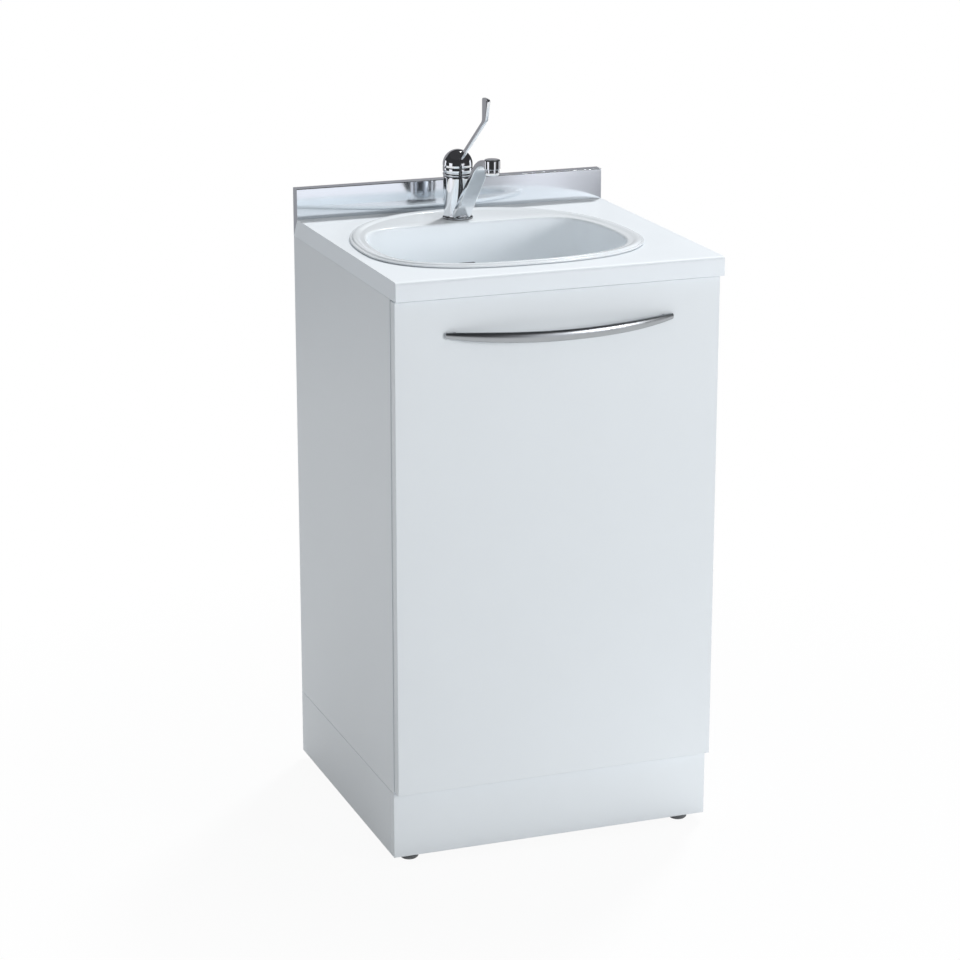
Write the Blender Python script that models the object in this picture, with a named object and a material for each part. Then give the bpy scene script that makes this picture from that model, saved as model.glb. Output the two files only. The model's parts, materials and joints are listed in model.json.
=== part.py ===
"""Sink cabinet for a treatment room: a board carcass on a plinth with one hinged door, a worktop
with an upstand, a drop-in basin with its waste, and an elbow mixer tap. Metres, +Z up, front at -Y.
"""

import math

import bmesh
import bpy
from mathutils import Matrix, Vector

# Gap left between pieces that touch
GAP = 0.0003

# Carcass and plinth
WIDTH = 0.500
CARCASS_DEPTH = 0.4585
BOARD = 0.016
EDGE_EASE = 0.0006
BACK_SHEET = 0.003
PLINTH_PROUD = 0.0004
PLINTH_HEIGHT = 0.1015
FRONT_RAIL_HEIGHT = 0.040
REAR_RAIL_HEIGHT = 0.080

# Hole in the back for the pipes, placed round the waste outlet
BACK_HOLE_WIDTH = 0.280
BACK_HOLE_HEIGHT = 0.180
BACK_HOLE_RADIUS = 0.020

# Feet
FLOOR_GAP = 0.0125
FOOT_RADIUS = 0.014
FOOT_PAD_HEIGHT = 0.008
FOOT_PAD_EASE = 0.002
FOOT_HEX_RADIUS = 0.0075
FOOT_STEM_RADIUS = 0.004
FOOT_STEM_LENGTH = 0.060
FOOT_INSET_X = 0.032
FOOT_INSET_Y = 0.026
CORNER_BLOCK = 0.040

# Worktop and upstand
WORKTOP_HEIGHT = 0.887
WORKTOP_THICKNESS = 0.0282
WORKTOP_FRONT_OVERHANG = 0.0293
WORKTOP_SIDE_OVERHANG = 0.0004
WORKTOP_BACK_INSET = 0.0015
WORKTOP_NOSE_RADIUS = 0.0055
UPSTAND_HEIGHT = 0.047
UPSTAND_THICKNESS = 0.020
UPSTAND_EDGE_RADIUS = 0.0012

# Door and its small pieces
DOOR_THICKNESS = 0.017
DOOR_GAP = 0.001
DOOR_SIDE_MARGIN = 0.0013
DOOR_END_MARGIN = 0.003
BUMPER_RADIUS = 0.004
BUMPER_INSET = 0.030
CATCH_WIDTH = 0.013
CATCH_DEPTH = 0.016
CATCH_HEIGHT = 0.046
CATCH_DROP = 0.030
CATCH_SETBACK = 0.001
STRIKE_THICKNESS = 0.0008
STRIKE_WIDTH = 0.018

# Hinges on the right side
HINGE_LENGTH = 0.050
HINGE_INSET = 0.100
KNUCKLES = 5
KNUCKLE_RADIUS = 0.003
KNUCKLE_CLEARANCE = 0.0004
HINGE_PIN_RADIUS = 0.0014
HINGE_PIN_HEAD_RADIUS = 0.0022
HINGE_PIN_HEAD = 0.0020
HINGE_AXIS_OUTSIDE = 0.0033
LEAF_THICKNESS = 0.0012
LEAF_RECESS = 0.0014
FRAME_LEAF_WIDTH = 0.012
DOOR_LEAF_WIDTH = 0.022

# Bow handle
HANDLE_LENGTH = 0.350
HANDLE_POST_INSET = 0.015
HANDLE_DROP = 0.055
HANDLE_REACH = 0.036
HANDLE_BAR_THICKNESS = 0.0080
HANDLE_BAR_HEIGHT = 0.0120
HANDLE_TIP_SHARE = 0.70
HANDLE_POST_RADIUS = 0.0036
HANDLE_SCREW_RADIUS = 0.0020
HANDLE_SCREW_HEAD_RADIUS = 0.0042
HANDLE_SCREW_HEAD = 0.0022
HANDLE_SCREW_GRIP = 0.0045

# Basin, seen from above
BASIN_LEFT_MARGIN = 0.0164
BASIN_RIGHT_MARGIN = 0.0584
BASIN_FRONT_MARGIN = 0.0423
BASIN_BACK_MARGIN = 0.020
BASIN_FRONT_REACH = 0.161
BASIN_FRONT_POWER = 2.5
BASIN_BACK_POWER = 2.2
BASIN_LEDGE = 0.101
BASIN_CORNER_POWER = 11.0

# Basin, in section
RIM_HEIGHT = 0.0060
RIM_WIDTH = 0.017
RIM_SEAT = 0.0015
LEDGE_HEIGHT = 0.0033
LEDGE_THICKNESS = 0.0120
BOWL_DEPTH = 0.145
BOWL_WALL = 0.008
BOWL_LIP = 0.004
BOWL_POWER = 3.0
OVERFLOW_WIDTH = 0.029
OVERFLOW_HEIGHT = 0.006
OVERFLOW_CORNER = 0.0028
OVERFLOW_DROP = 0.0645
OVERFLOW_DEPTH = 0.0045
CUTOUT_INSET = 0.011
COLLAR_INSET = 0.0152
COLLAR_STEP = 0.002
SEAL_INSET = 0.002
SEAL_WIDTH = 0.007

# Waste and bottle trap under the basin
DRAIN_FORWARD = 0.128
DRAIN_RADIUS = 0.0225
STRAINER_FLANGE_RADIUS = 0.034
STRAINER_FLANGE = 0.0025
STRAINER_TUBE_RADIUS = 0.0205
STRAINER_TUBE_WALL = 0.0025
STRAINER_TUBE_LENGTH = 0.046
STRAINER_HOLE_RADIUS = 0.0042
STRAINER_HOLES = 6
WASTE_GASKET_RADIUS = 0.032
WASTE_GASKET_THICKNESS = 0.003
WASTE_NUT_RADIUS = 0.034
WASTE_NUT_HEIGHT = 0.010
PIPE_RADIUS = 0.016
PIPE_WALL = 0.002
TAILPIECE_LENGTH = 0.072
TAILPIECE_CUP_RADIUS = 0.0265
TAILPIECE_CUP_HEIGHT = 0.016
UNION_NUT_RADIUS = 0.0225
UNION_NUT_HEIGHT = 0.016
TRAP_RADIUS = 0.029
TRAP_HEIGHT = 0.075
TRAP_SOCKET_DEPTH = 0.030
TRAP_THREAD_RADIUS = 0.0265
TRAP_THREAD_LENGTH = 0.018
TRAP_CUP_HEIGHT = 0.050
TRAP_CUP_WALL = 0.003
TRAP_OUTLET_DROP = 0.030
TRAP_NECK_LENGTH = 0.016

# Mixer tap
TAP_BEHIND_BOWL = 0.036
TAP_BASE_RADIUS = 0.0232
TAP_BASE_FLANGE = 0.0025
TAP_FOOT_RADIUS = 0.0214
TAP_BODY_RADIUS = 0.0222
TAP_BODY_HEIGHT = 0.0650
TAP_EDGE = 0.0012
TAP_GASKET_THICKNESS = 0.0008
CARTRIDGE_RADIUS = 0.0180
CARTRIDGE_FLOOR = 0.020
CARTRIDGE_TOP_DROP = 0.003
SPINDLE_RADIUS = 0.0055
SPINDLE_LENGTH = 0.024
COLLAR_HEIGHT = 0.0125
COLLAR_GROOVE = 0.0012
DOME_RADIUS = 0.0228
DOME_WALL = 0.0034
DOME_SKIRT = 0.0035
BALL_CLEARANCE = 0.0008
BALL_SKIRT = 0.010
TILT_PIN_RADIUS = 0.0020
TILT_RELIEF = math.radians(21.5)
SHANK_RADIUS = 0.0155
SHANK_WALL = 0.003
SHANK_LENGTH = 0.058
SHANK_SOCKET = 0.006
SHANK_CLEARANCE = 0.0015
TAP_WASHER_RADIUS = 0.026
TAP_WASHER_THICKNESS = 0.0025
TAP_NUT_RADIUS = 0.0235
TAP_NUT_HEIGHT = 0.009
INLET_RADIUS = 0.0045
INLET_SPACING = 0.0115
INLET_LENGTH = 0.090

# Spout and aerator
SPOUT_REACH = 0.149
SPOUT_ANGLE = math.radians(45)
SPOUT_ROOT_OUT = 0.0150
SPOUT_ROOT_HEIGHT = 0.0052
SPOUT_HEAD_HEIGHT = 0.1055
SPOUT_BEND = 0.026
SPOUT_THICKNESS = 0.011
SPOUT_ROOT_WIDTH = 0.027
SPOUT_HEAD_WIDTH = 0.021
SPOUT_CORNER = 0.0025
HEAD_RADIUS = 0.0120
HEAD_HEIGHT = 0.0142
AERATOR_RADIUS = 0.0108
AERATOR_THREAD_RADIUS = 0.0093
AERATOR_THREAD = 0.004
AERATOR_HEIGHT = 0.0095
AERATOR_RIM = 0.0018

# Elbow lever
LEVER_ANGLE = math.radians(35.4)
LEVER_THICKNESS = 0.0046
LEVER_DEPTH = 0.0068
LEVER_PADDLE_OUT = 0.112
LEVER_PADDLE_ROOT = 0.015
LEVER_PADDLE_END = 0.025
LEVER_TOP = 0.1185
LEVER_BEND_RADIUS = 0.010
LEVER_CORNER_RADIUS = 0.006

# Facets of round pieces
BASIN_POINTS = 48
BOWL_STEPS = 7
HANDLE_STEPS = 18
FINE = 28
ROUND = 20
SMALL = 12
SHARP_ANGLE = math.radians(35)

# Levels and planes that several pieces share
PLINTH_DEPTH = CARCASS_DEPTH + PLINTH_PROUD
DOOR_STANDOFF = DOOR_GAP + DOOR_THICKNESS
FRONT = -(PLINTH_DEPTH - DOOR_STANDOFF - HANDLE_REACH) / 2
BACK = FRONT + CARCASS_DEPTH
PLINTH_BACK = FRONT + PLINTH_DEPTH
INNER_HALF = WIDTH / 2 - BOARD
PLINTH_TOP = FLOOR_GAP + PLINTH_HEIGHT
WORKTOP_UNDER = WORKTOP_HEIGHT - WORKTOP_THICKNESS
WORKTOP_FRONT = FRONT - WORKTOP_FRONT_OVERHANG
WORKTOP_BACK = BACK - WORKTOP_BACK_INSET
WORKTOP_HALF = WIDTH / 2 + WORKTOP_SIDE_OVERHANG
UPSTAND_FRONT = WORKTOP_BACK - UPSTAND_THICKNESS
DOOR_BACK = FRONT - DOOR_GAP
DOOR_FRONT = FRONT - DOOR_STANDOFF
DOOR_HALF = WIDTH / 2 - DOOR_SIDE_MARGIN
DOOR_LOW = PLINTH_TOP + DOOR_END_MARGIN
DOOR_HIGH = WORKTOP_UNDER - DOOR_END_MARGIN
HINGE_AXIS = Vector((WIDTH / 2 + HINGE_AXIS_OUTSIDE, FRONT - DOOR_GAP / 2, 0))
LEAF_EDGE = HINGE_AXIS.x - KNUCKLE_RADIUS - KNUCKLE_CLEARANCE
HANDLE_Z = WORKTOP_UNDER - HANDLE_DROP
HANDLE_SPACING = HANDLE_LENGTH - 2 * HANDLE_POST_INSET

# Places on the basin that the tap and the waste follow
BASIN_HALF_WIDTH = WORKTOP_HALF - (BASIN_LEFT_MARGIN + BASIN_RIGHT_MARGIN) / 2
BASIN_X = (BASIN_LEFT_MARGIN - BASIN_RIGHT_MARGIN) / 2
BASIN_Y = WORKTOP_FRONT + BASIN_FRONT_MARGIN + BASIN_FRONT_REACH
BASIN_BACK_REACH = UPSTAND_FRONT - BASIN_BACK_MARGIN - BASIN_Y
BOWL_BACK = BASIN_BACK_REACH - BASIN_LEDGE
BOWL_INSET = COLLAR_INSET + COLLAR_STEP + BOWL_WALL
LEDGE_Z = WORKTOP_HEIGHT + LEDGE_HEIGHT
LEDGE_UNDER = LEDGE_Z - LEDGE_THICKNESS
DRAIN = Vector((BASIN_X, BASIN_Y + BOWL_BACK - DRAIN_FORWARD, WORKTOP_HEIGHT - BOWL_DEPTH))
DRAIN_SEAT = DRAIN.z - STRAINER_FLANGE
DRAIN_UNDER = DRAIN_SEAT - BOWL_WALL
TUBE_END = DRAIN.z - STRAINER_TUBE_LENGTH
TRAP_TOP = TUBE_END - TAILPIECE_LENGTH + TRAP_SOCKET_DEPTH
OUTLET_Z = TRAP_TOP - TRAP_OUTLET_DROP
TAP_SEAT = LEDGE_Z + TAP_GASKET_THICKNESS + 2 * GAP
TAP = Vector((BASIN_X, BASIN_Y + BOWL_BACK + TAP_BEHIND_BOWL, TAP_SEAT))
BALL = TAP + Vector((0, 0, TAP_BODY_HEIGHT + COLLAR_HEIGHT + DOME_SKIRT + 2 * GAP))
HEAD = TAP + Vector((0, -SPOUT_REACH, SPOUT_HEAD_HEIGHT - SPOUT_THICKNESS / 2))

UP = Vector((0, 0, 1))
RIGHT = Vector((1, 0, 0))
BACKWARDS = Vector((0, 1, 0))
FORWARDS = Vector((0, -1, 0))
CORNER_SIGNS = [(-1, -1), (1, -1), (1, 1), (-1, 1)]


def clear_scene():
    for old in list(bpy.data.objects):
        bpy.data.objects.remove(old)


def finish(name, colour, roughness, metallic=0.0):
    """Material with one colour, roughness and metallic value."""
    made = bpy.data.materials.new(name)
    made.use_nodes = True
    shader = made.node_tree.nodes["Principled BSDF"]
    shader.inputs["Base Color"].default_value = (*colour, 1)
    shader.inputs["Roughness"].default_value = roughness
    shader.inputs["Metallic"].default_value = metallic
    return made


def pivot(name, place, parent=None):
    """Empty on a joint's axis, for the pieces that turn or slide there."""
    empty = bpy.data.objects.new(name, None)
    empty.location = place - parent.location if parent else place
    empty.parent = parent
    bpy.context.collection.objects.link(empty)
    return empty


def piece(name, bm, look, joint=None):
    """Named object from a mesh that was built in place, hung on its joint if it moves."""
    if joint:
        place = joint.location + joint.parent.location if joint.parent else joint.location
        bmesh.ops.translate(bm, vec=-place, verts=bm.verts)
    bmesh.ops.recalc_face_normals(bm, faces=bm.faces)
    mesh = bpy.data.meshes.new(name)
    bm.to_mesh(mesh)
    bm.free()
    mesh.shade_smooth()
    mesh.set_sharp_from_angle(angle=SHARP_ANGLE)
    mesh.materials.append(look)
    made = bpy.data.objects.new(name, mesh)
    made.parent = joint
    bpy.context.collection.objects.link(made)
    return made


def combine(target, bm, operation="DIFFERENCE"):
    """Cut a shape out of a piece, or join it on, with a Boolean."""
    name = f"{target.name}_tool_{len(target.modifiers)}"
    tool = piece(name, bm, target.data.materials[0], target.parent)
    tool.hide_render = True
    tool.display_type = "WIRE"
    boolean = target.modifiers.new(operation.lower(), "BOOLEAN")
    boolean.operation = operation
    boolean.solver = "EXACT"
    boolean.object = tool


def gathered(shapes):
    """Several shapes in one mesh."""
    whole = bmesh.new()
    for shape in shapes:
        mesh = bpy.data.meshes.new("shape")
        shape.to_mesh(mesh)
        shape.free()
        whole.from_mesh(mesh)
        bpy.data.meshes.remove(mesh)
    return whole


def block(low, high, ease=0.0):
    """Box between two corners, with its edges eased by a small chamfer."""
    bm = bmesh.new()
    low, high = Vector(low), Vector(high)
    place = Matrix.Translation((low + high) / 2) @ Matrix.Diagonal((*(high - low), 1))
    bmesh.ops.create_cube(bm, size=1, matrix=place)
    if ease:
        bmesh.ops.bevel(bm, geom=bm.edges[:], offset=ease, segments=1, affect="EDGES")
    return bm


def board(name, low, high, look, joint=None):
    return piece(name, block(low, high, EDGE_EASE), look, joint)


def extruded(outline, axis, low, high):
    """Prism of a flat outline along one axis. The outline is in the other two, in X, Y, Z order."""
    bm = bmesh.new()
    verts = []
    for point in outline:
        place = list(point)
        place.insert(axis, low)
        verts.append(bm.verts.new(place))
    grown = bmesh.ops.extrude_face_region(bm, geom=[bm.faces.new(verts)])
    shift = Vector((0, 0, 0))
    shift[axis] = high - low
    moved = [item for item in grown["geom"] if isinstance(item, bmesh.types.BMVert)]
    bmesh.ops.translate(bm, vec=shift, verts=moved)
    bmesh.ops.recalc_face_normals(bm, faces=bm.faces)
    return bm


def turned(profile, centre, segments, along=UP):
    """Body turned about a line through the centre from (radius, height) points. A profile that starts
    away from the axis closes on itself as a ring."""
    bm = bmesh.new()
    verts = [bm.verts.new((radius, 0, height)) for radius, height in profile]
    pairs = list(zip(verts, verts[1:]))
    if profile[0][0] > 0:
        pairs.append((verts[-1], verts[0]))
    edges = [bm.edges.new(pair) for pair in pairs]
    bmesh.ops.spin(bm, geom=verts + edges, axis=UP, cent=(0, 0, 0), dvec=(0, 0, 0),
                   angle=math.tau, steps=segments, use_merge=True)
    bmesh.ops.remove_doubles(bm, verts=bm.verts, dist=1e-6)
    turn = UP.rotation_difference(along).to_matrix().to_4x4()
    bmesh.ops.transform(bm, matrix=Matrix.Translation(centre) @ turn, verts=bm.verts)
    bmesh.ops.recalc_face_normals(bm, faces=bm.faces)
    return bm


def rod(radius, low, high, centre, segments, along=UP):
    """Plain round bar."""
    return turned([(0, low), (radius, low), (radius, high), (0, high)], centre, segments, along)


def ring(outer, inner, low, high, centre, segments, along=UP):
    """Plain tube."""
    profile = [(inner, low), (outer, low), (outer, high), (inner, high)]
    return turned(profile, centre, segments, along)


def lofted(loops, closed):
    """Skin over loops of equal length, the last joined to the first, or both capped."""
    bm = bmesh.new()
    rows = [[bm.verts.new(point) for point in loop] for loop in loops]
    following = rows[1:] + rows[:1] if closed else rows[1:]
    for row, above in zip(rows, following):
        for i in range(len(row)):
            bm.faces.new((row[i - 1], row[i], above[i], above[i - 1]))
    if not closed:
        bm.faces.new(rows[0])
        bm.faces.new(rows[-1])
    return bm


def arc(radius, first, last, steps):
    """Points (across, up) along an arc about the origin."""
    angles = [first + (last - first) * i / steps for i in range(steps + 1)]
    return [(radius * math.cos(angle), radius * math.sin(angle)) for angle in angles]


def rounded(corners, steps=4):
    """Closed outline through (x, y, radius) corners, with an arc at each corner that has a radius."""
    outline = []
    for i, (x, y, radius) in enumerate(corners):
        corner = Vector((x, y))
        if not radius:
            outline.append(corner)
            continue
        before = (Vector(corners[i - 1][:2]) - corner).normalized()
        after = (Vector(corners[(i + 1) % len(corners)][:2]) - corner).normalized()
        half = before.angle(after) / 2
        centre = corner + (before + after).normalized() * radius / math.sin(half)
        start = corner + before * radius / math.tan(half) - centre
        end = corner + after * radius / math.tan(half) - centre
        first = math.atan2(start.y, start.x)
        sweep = (math.atan2(end.y, end.x) - first + math.pi) % math.tau - math.pi
        outline += [centre + Vector(point) for point in arc(radius, first, first + sweep, steps)]
    return outline


def make_carcass(laminate, sheet):
    """Two sides, a bottom, two rails on edge and a thin back with a hole for the pipes."""
    low, high = PLINTH_TOP + GAP, WORKTOP_UNDER - GAP
    inner = INNER_HALF - GAP
    board("side_panel_left", (-WIDTH / 2, FRONT, low), (-INNER_HALF, BACK, high), laminate)
    right = board("side_panel_right", (INNER_HALF, FRONT, low), (WIDTH / 2, BACK, high), laminate)
    for middle in hinge_heights():
        combine(right, leaf_recess(FRAME_LEAF_WIDTH, FRONT, middle))
    sheet_front = BACK - BACK_SHEET
    rail_back = sheet_front - GAP
    board("bottom_panel", (-inner, FRONT, low), (inner, rail_back, low + BOARD), laminate)
    rail_low = high - FRONT_RAIL_HEIGHT
    board("front_rail", (-inner, FRONT, rail_low), (inner, FRONT + BOARD, high), laminate)
    rail_low = high - REAR_RAIL_HEIGHT
    board("rear_rail", (-inner, rail_back - BOARD, rail_low), (inner, rail_back, high), laminate)
    back = piece("back_panel", block((-inner, sheet_front, low), (inner, BACK, high)), sheet)
    hole = []
    for across, up in CORNER_SIGNS:
        x = DRAIN.x + across * BACK_HOLE_WIDTH / 2
        hole.append((x, OUTLET_Z + up * BACK_HOLE_HEIGHT / 2, BACK_HOLE_RADIUS))
    combine(back, extruded(rounded(hole), 1, sheet_front - BACK_SHEET, BACK + BACK_SHEET))


def foot_places():
    """Name, side, end and place of each foot."""
    places = []
    for end, end_name in ((-1, "front"), (1, "rear")):
        y = FRONT + FOOT_INSET_Y if end < 0 else PLINTH_BACK - FOOT_INSET_Y
        for side, side_name in ((-1, "left"), (1, "right")):
            x = side * (WIDTH / 2 - FOOT_INSET_X)
            places.append((f"{end_name}_{side_name}", side, end, Vector((x, y, 0))))
    return places


def make_plinth(laminate, timber):
    """Four boards on edge, with a block in each corner that a foot screws into."""
    half, inner = WIDTH / 2, INNER_HALF - GAP
    side_front = FRONT + BOARD + GAP
    board("plinth_front", (-half, FRONT, FLOOR_GAP), (half, FRONT + BOARD, PLINTH_TOP), laminate)
    board("plinth_left", (-half, side_front, FLOOR_GAP), (-INNER_HALF, PLINTH_BACK, PLINTH_TOP), laminate)
    board("plinth_right", (INNER_HALF, side_front, FLOOR_GAP), (half, PLINTH_BACK, PLINTH_TOP), laminate)
    rear_front = PLINTH_BACK - BOARD
    board("plinth_rear", (-inner, rear_front, FLOOR_GAP), (inner, PLINTH_BACK, PLINTH_TOP), laminate)
    for name, side, end, place in foot_places():
        outer_y = rear_front - GAP if end > 0 else side_front
        x_span = sorted((side * inner, side * (inner - CORNER_BLOCK)))
        y_span = sorted((outer_y, outer_y - end * CORNER_BLOCK))
        low = (x_span[0], y_span[0], FLOOR_GAP)
        high = (x_span[1], y_span[1], PLINTH_TOP)
        corner = board(f"corner_block_{name}", low, high, timber)
        combine(corner, rod(FOOT_STEM_RADIUS + GAP, -GAP, PLINTH_TOP + GAP, place, SMALL))


def make_feet(plastic):
    """Screw feet: a pad, a hexagon to turn it by, and a stem up into the corner block."""
    edge, flat, top = FOOT_RADIUS, FOOT_RADIUS - FOOT_PAD_EASE, FOOT_PAD_HEIGHT
    shoulder = top - FOOT_PAD_EASE
    profile = [(0, 0), (flat, 0), (edge, FOOT_PAD_EASE), (edge, shoulder), (flat, top), (0, top)]
    for name, _, _, place in foot_places():
        joint = pivot(f"foot_axis_{name}", place)
        foot = piece(f"foot_{name}", turned(profile, place, ROUND), plastic, joint)
        combine(foot, rod(FOOT_HEX_RADIUS, FOOT_PAD_EASE, FLOOR_GAP - GAP, place, 6), "UNION")
        combine(foot, rod(FOOT_STEM_RADIUS, shoulder, FOOT_STEM_LENGTH, place, SMALL), "UNION")


def make_worktop(laminate, steel):
    """Worktop with a rounded nose, and the upstand, which meets it at a mitre along the back."""
    section = [(WORKTOP_FRONT, WORKTOP_UNDER, EDGE_EASE), (WORKTOP_BACK, WORKTOP_UNDER, 0),
               (UPSTAND_FRONT, WORKTOP_HEIGHT, 0), (WORKTOP_FRONT, WORKTOP_HEIGHT, WORKTOP_NOSE_RADIUS)]
    top = piece("worktop", extruded(rounded(section), 0, -WORKTOP_HALF, WORKTOP_HALF), laminate)
    hole = [(x, y) for x, y, _ in rim_loop(CUTOUT_INSET, 0)]
    combine(top, extruded(hole, 2, WORKTOP_UNDER - BOARD, WORKTOP_HEIGHT + BOARD))
    crest = WORKTOP_HEIGHT + UPSTAND_HEIGHT
    ease = UPSTAND_EDGE_RADIUS
    section = [(UPSTAND_FRONT, WORKTOP_HEIGHT + GAP, 0), (WORKTOP_BACK, WORKTOP_UNDER + GAP, 0),
               (WORKTOP_BACK, crest, ease), (UPSTAND_FRONT, crest, ease)]
    piece("upstand", extruded(rounded(section), 0, -WORKTOP_HALF, WORKTOP_HALF), steel)


def basin_edge(angle):
    """Point of the rim's outer edge in a direction from the basin's middle: one rounded shape towards
    the front, and a longer and more pointed one towards the tap."""
    across, along = math.cos(angle), math.sin(angle)
    reach, power = BASIN_BACK_REACH, BASIN_BACK_POWER
    if along < 0:
        reach, power = BASIN_FRONT_REACH, BASIN_FRONT_POWER
    share = abs(across / BASIN_HALF_WIDTH) ** power + abs(along / reach) ** power
    return Vector((across, along)) * share ** (-1 / power)


def rim_points(inset):
    """Points about the basin's middle that follow the rim's outer edge at an even inset."""
    points = []
    nudge = math.tau / BASIN_POINTS / 10
    for i in range(BASIN_POINTS):
        angle = math.tau * i / BASIN_POINTS
        along = (basin_edge(angle + nudge) - basin_edge(angle - nudge)).normalized()
        points.append(basin_edge(angle) - inset * Vector((along.y, -along.x)))
    return points


def rim_loop(inset, height):
    return [(BASIN_X + point.x, BASIN_Y + point.y, height) for point in rim_points(inset)]


def bowl_points(inset):
    """Outline of the bowl: it follows the rim, with a straight edge and round corners at the ledge."""
    points = []
    straight = BOWL_BACK + BOWL_INSET - inset
    for point in rim_points(inset):
        reach = point.length
        ray = point / reach
        if ray.y > 0:
            share = reach ** -BASIN_CORNER_POWER + (straight / ray.y) ** -BASIN_CORNER_POWER
            reach = share ** (-1 / BASIN_CORNER_POWER)
        points.append(ray * reach)
    return points


def drain_arms(inset):
    """Arms from the drain to the bowl's outline."""
    drain = Vector((DRAIN.x - BASIN_X, DRAIN.y - BASIN_Y))
    return [point - drain for point in bowl_points(inset)]


def bowl_loop(inset, height, shrink=1.0, grow=0.0, roundness=0.0):
    """Loop round the bowl, drawn in towards the drain and towards a circle there."""
    loop = []
    for arm in drain_arms(inset):
        reach = arm.length * shrink
        reach += (STRAINER_FLANGE_RADIUS - reach) * roundness + grow
        place = arm.normalized() * reach
        loop.append((DRAIN.x + place.x, DRAIN.y + place.y, height))
    return loop


def drain_loop(radius, height):
    places = [arm.normalized() * radius for arm in drain_arms(BOWL_INSET)]
    return [(DRAIN.x + place.x, DRAIN.y + place.y, height) for place in places]


def bowl_section():
    """Steps down the bowl, from its edge to the drain: width share, depth, and how round it is."""
    steps = []
    for i in range(BOWL_STEPS):
        way = i / BOWL_STEPS
        width = math.cos(way * math.pi / 2) ** (2 / BOWL_POWER)
        depth = BOWL_DEPTH * math.sin(way * math.pi / 2) ** (2 / BOWL_POWER)
        steps.append((width, depth, way ** 3))
    return steps


def back_wall(loops, height):
    """How far back the bowl's inside stands at a height, between two of its loops."""
    for below, above in zip(loops, loops[1:]):
        low, high = below[0][2], above[0][2]
        if low <= height <= high:
            near, far = max(point[1] for point in below), max(point[1] for point in above)
            return near + (far - near) * (height - low) / (high - low)


def make_basin(glaze, silicone):
    """Drop-in basin, skinned over loops: up the bowl from the drain, over the ledge and the bead of
    the rim, and back down its outside. The overflow is a shallow slot in the back of the bowl."""
    crest, seat = WORKTOP_HEIGHT + RIM_HEIGHT, WORKTOP_HEIGHT + RIM_SEAT
    flange = STRAINER_FLANGE_RADIUS + GAP
    edge = LEDGE_Z - BOWL_LIP
    sink = [drain_loop(DRAIN_RADIUS, DRAIN_SEAT), drain_loop(flange, DRAIN_SEAT)]
    sink.append(drain_loop(flange, DRAIN.z))
    inside, outside = [], []
    for width, depth, roundness in bowl_section():
        inside.insert(0, bowl_loop(BOWL_INSET, edge - depth, width, 0, roundness))
        outside.append(bowl_loop(BOWL_INSET, LEDGE_UNDER - depth, width, BOWL_WALL, roundness))
    lip = [bowl_loop(BOWL_INSET - BOWL_LIP * 0.4, LEDGE_Z - BOWL_LIP * 0.3),
           bowl_loop(BOWL_INSET - BOWL_LIP, LEDGE_Z)]
    bead = [rim_loop(RIM_WIDTH, LEDGE_Z), rim_loop(RIM_WIDTH * 0.75, crest - RIM_WIDTH * 0.04),
            rim_loop(RIM_WIDTH * 0.45, crest), rim_loop(RIM_WIDTH * 0.15, crest - RIM_WIDTH * 0.06),
            rim_loop(0, (crest + seat) / 2), rim_loop(0, seat)]
    collar = [rim_loop(COLLAR_INSET, seat), rim_loop(COLLAR_INSET, LEDGE_UNDER)]
    boss = [drain_loop(flange + BOWL_WALL, DRAIN_UNDER), drain_loop(DRAIN_RADIUS, DRAIN_UNDER)]
    basin = piece("basin", lofted(sink + inside + lip + bead + collar + outside + boss, True), glaze)
    foot = Vector((TAP.x, TAP.y, 0))
    hole = rod(SHANK_RADIUS + SHANK_CLEARANCE, LEDGE_UNDER - BOARD, LEDGE_Z + BOARD, foot, ROUND)
    combine(basin, hole)
    level = WORKTOP_HEIGHT - OVERFLOW_DROP
    slot = []
    for across, up in CORNER_SIGNS:
        z = level + up * OVERFLOW_HEIGHT / 2
        slot.append((BASIN_X + across * OVERFLOW_WIDTH / 2, z, OVERFLOW_CORNER))
    wall = back_wall(inside, level)
    combine(basin, extruded(rounded(slot), 1, wall - BOWL_WALL, wall + OVERFLOW_DEPTH))
    low, high = WORKTOP_HEIGHT + GAP, seat - GAP
    outer, inner = SEAL_INSET, SEAL_INSET + SEAL_WIDTH
    loops = [rim_loop(outer, low), rim_loop(outer, high), rim_loop(inner, high), rim_loop(inner, low)]
    piece("basin_seal", lofted(loops, True), silicone)


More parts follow.
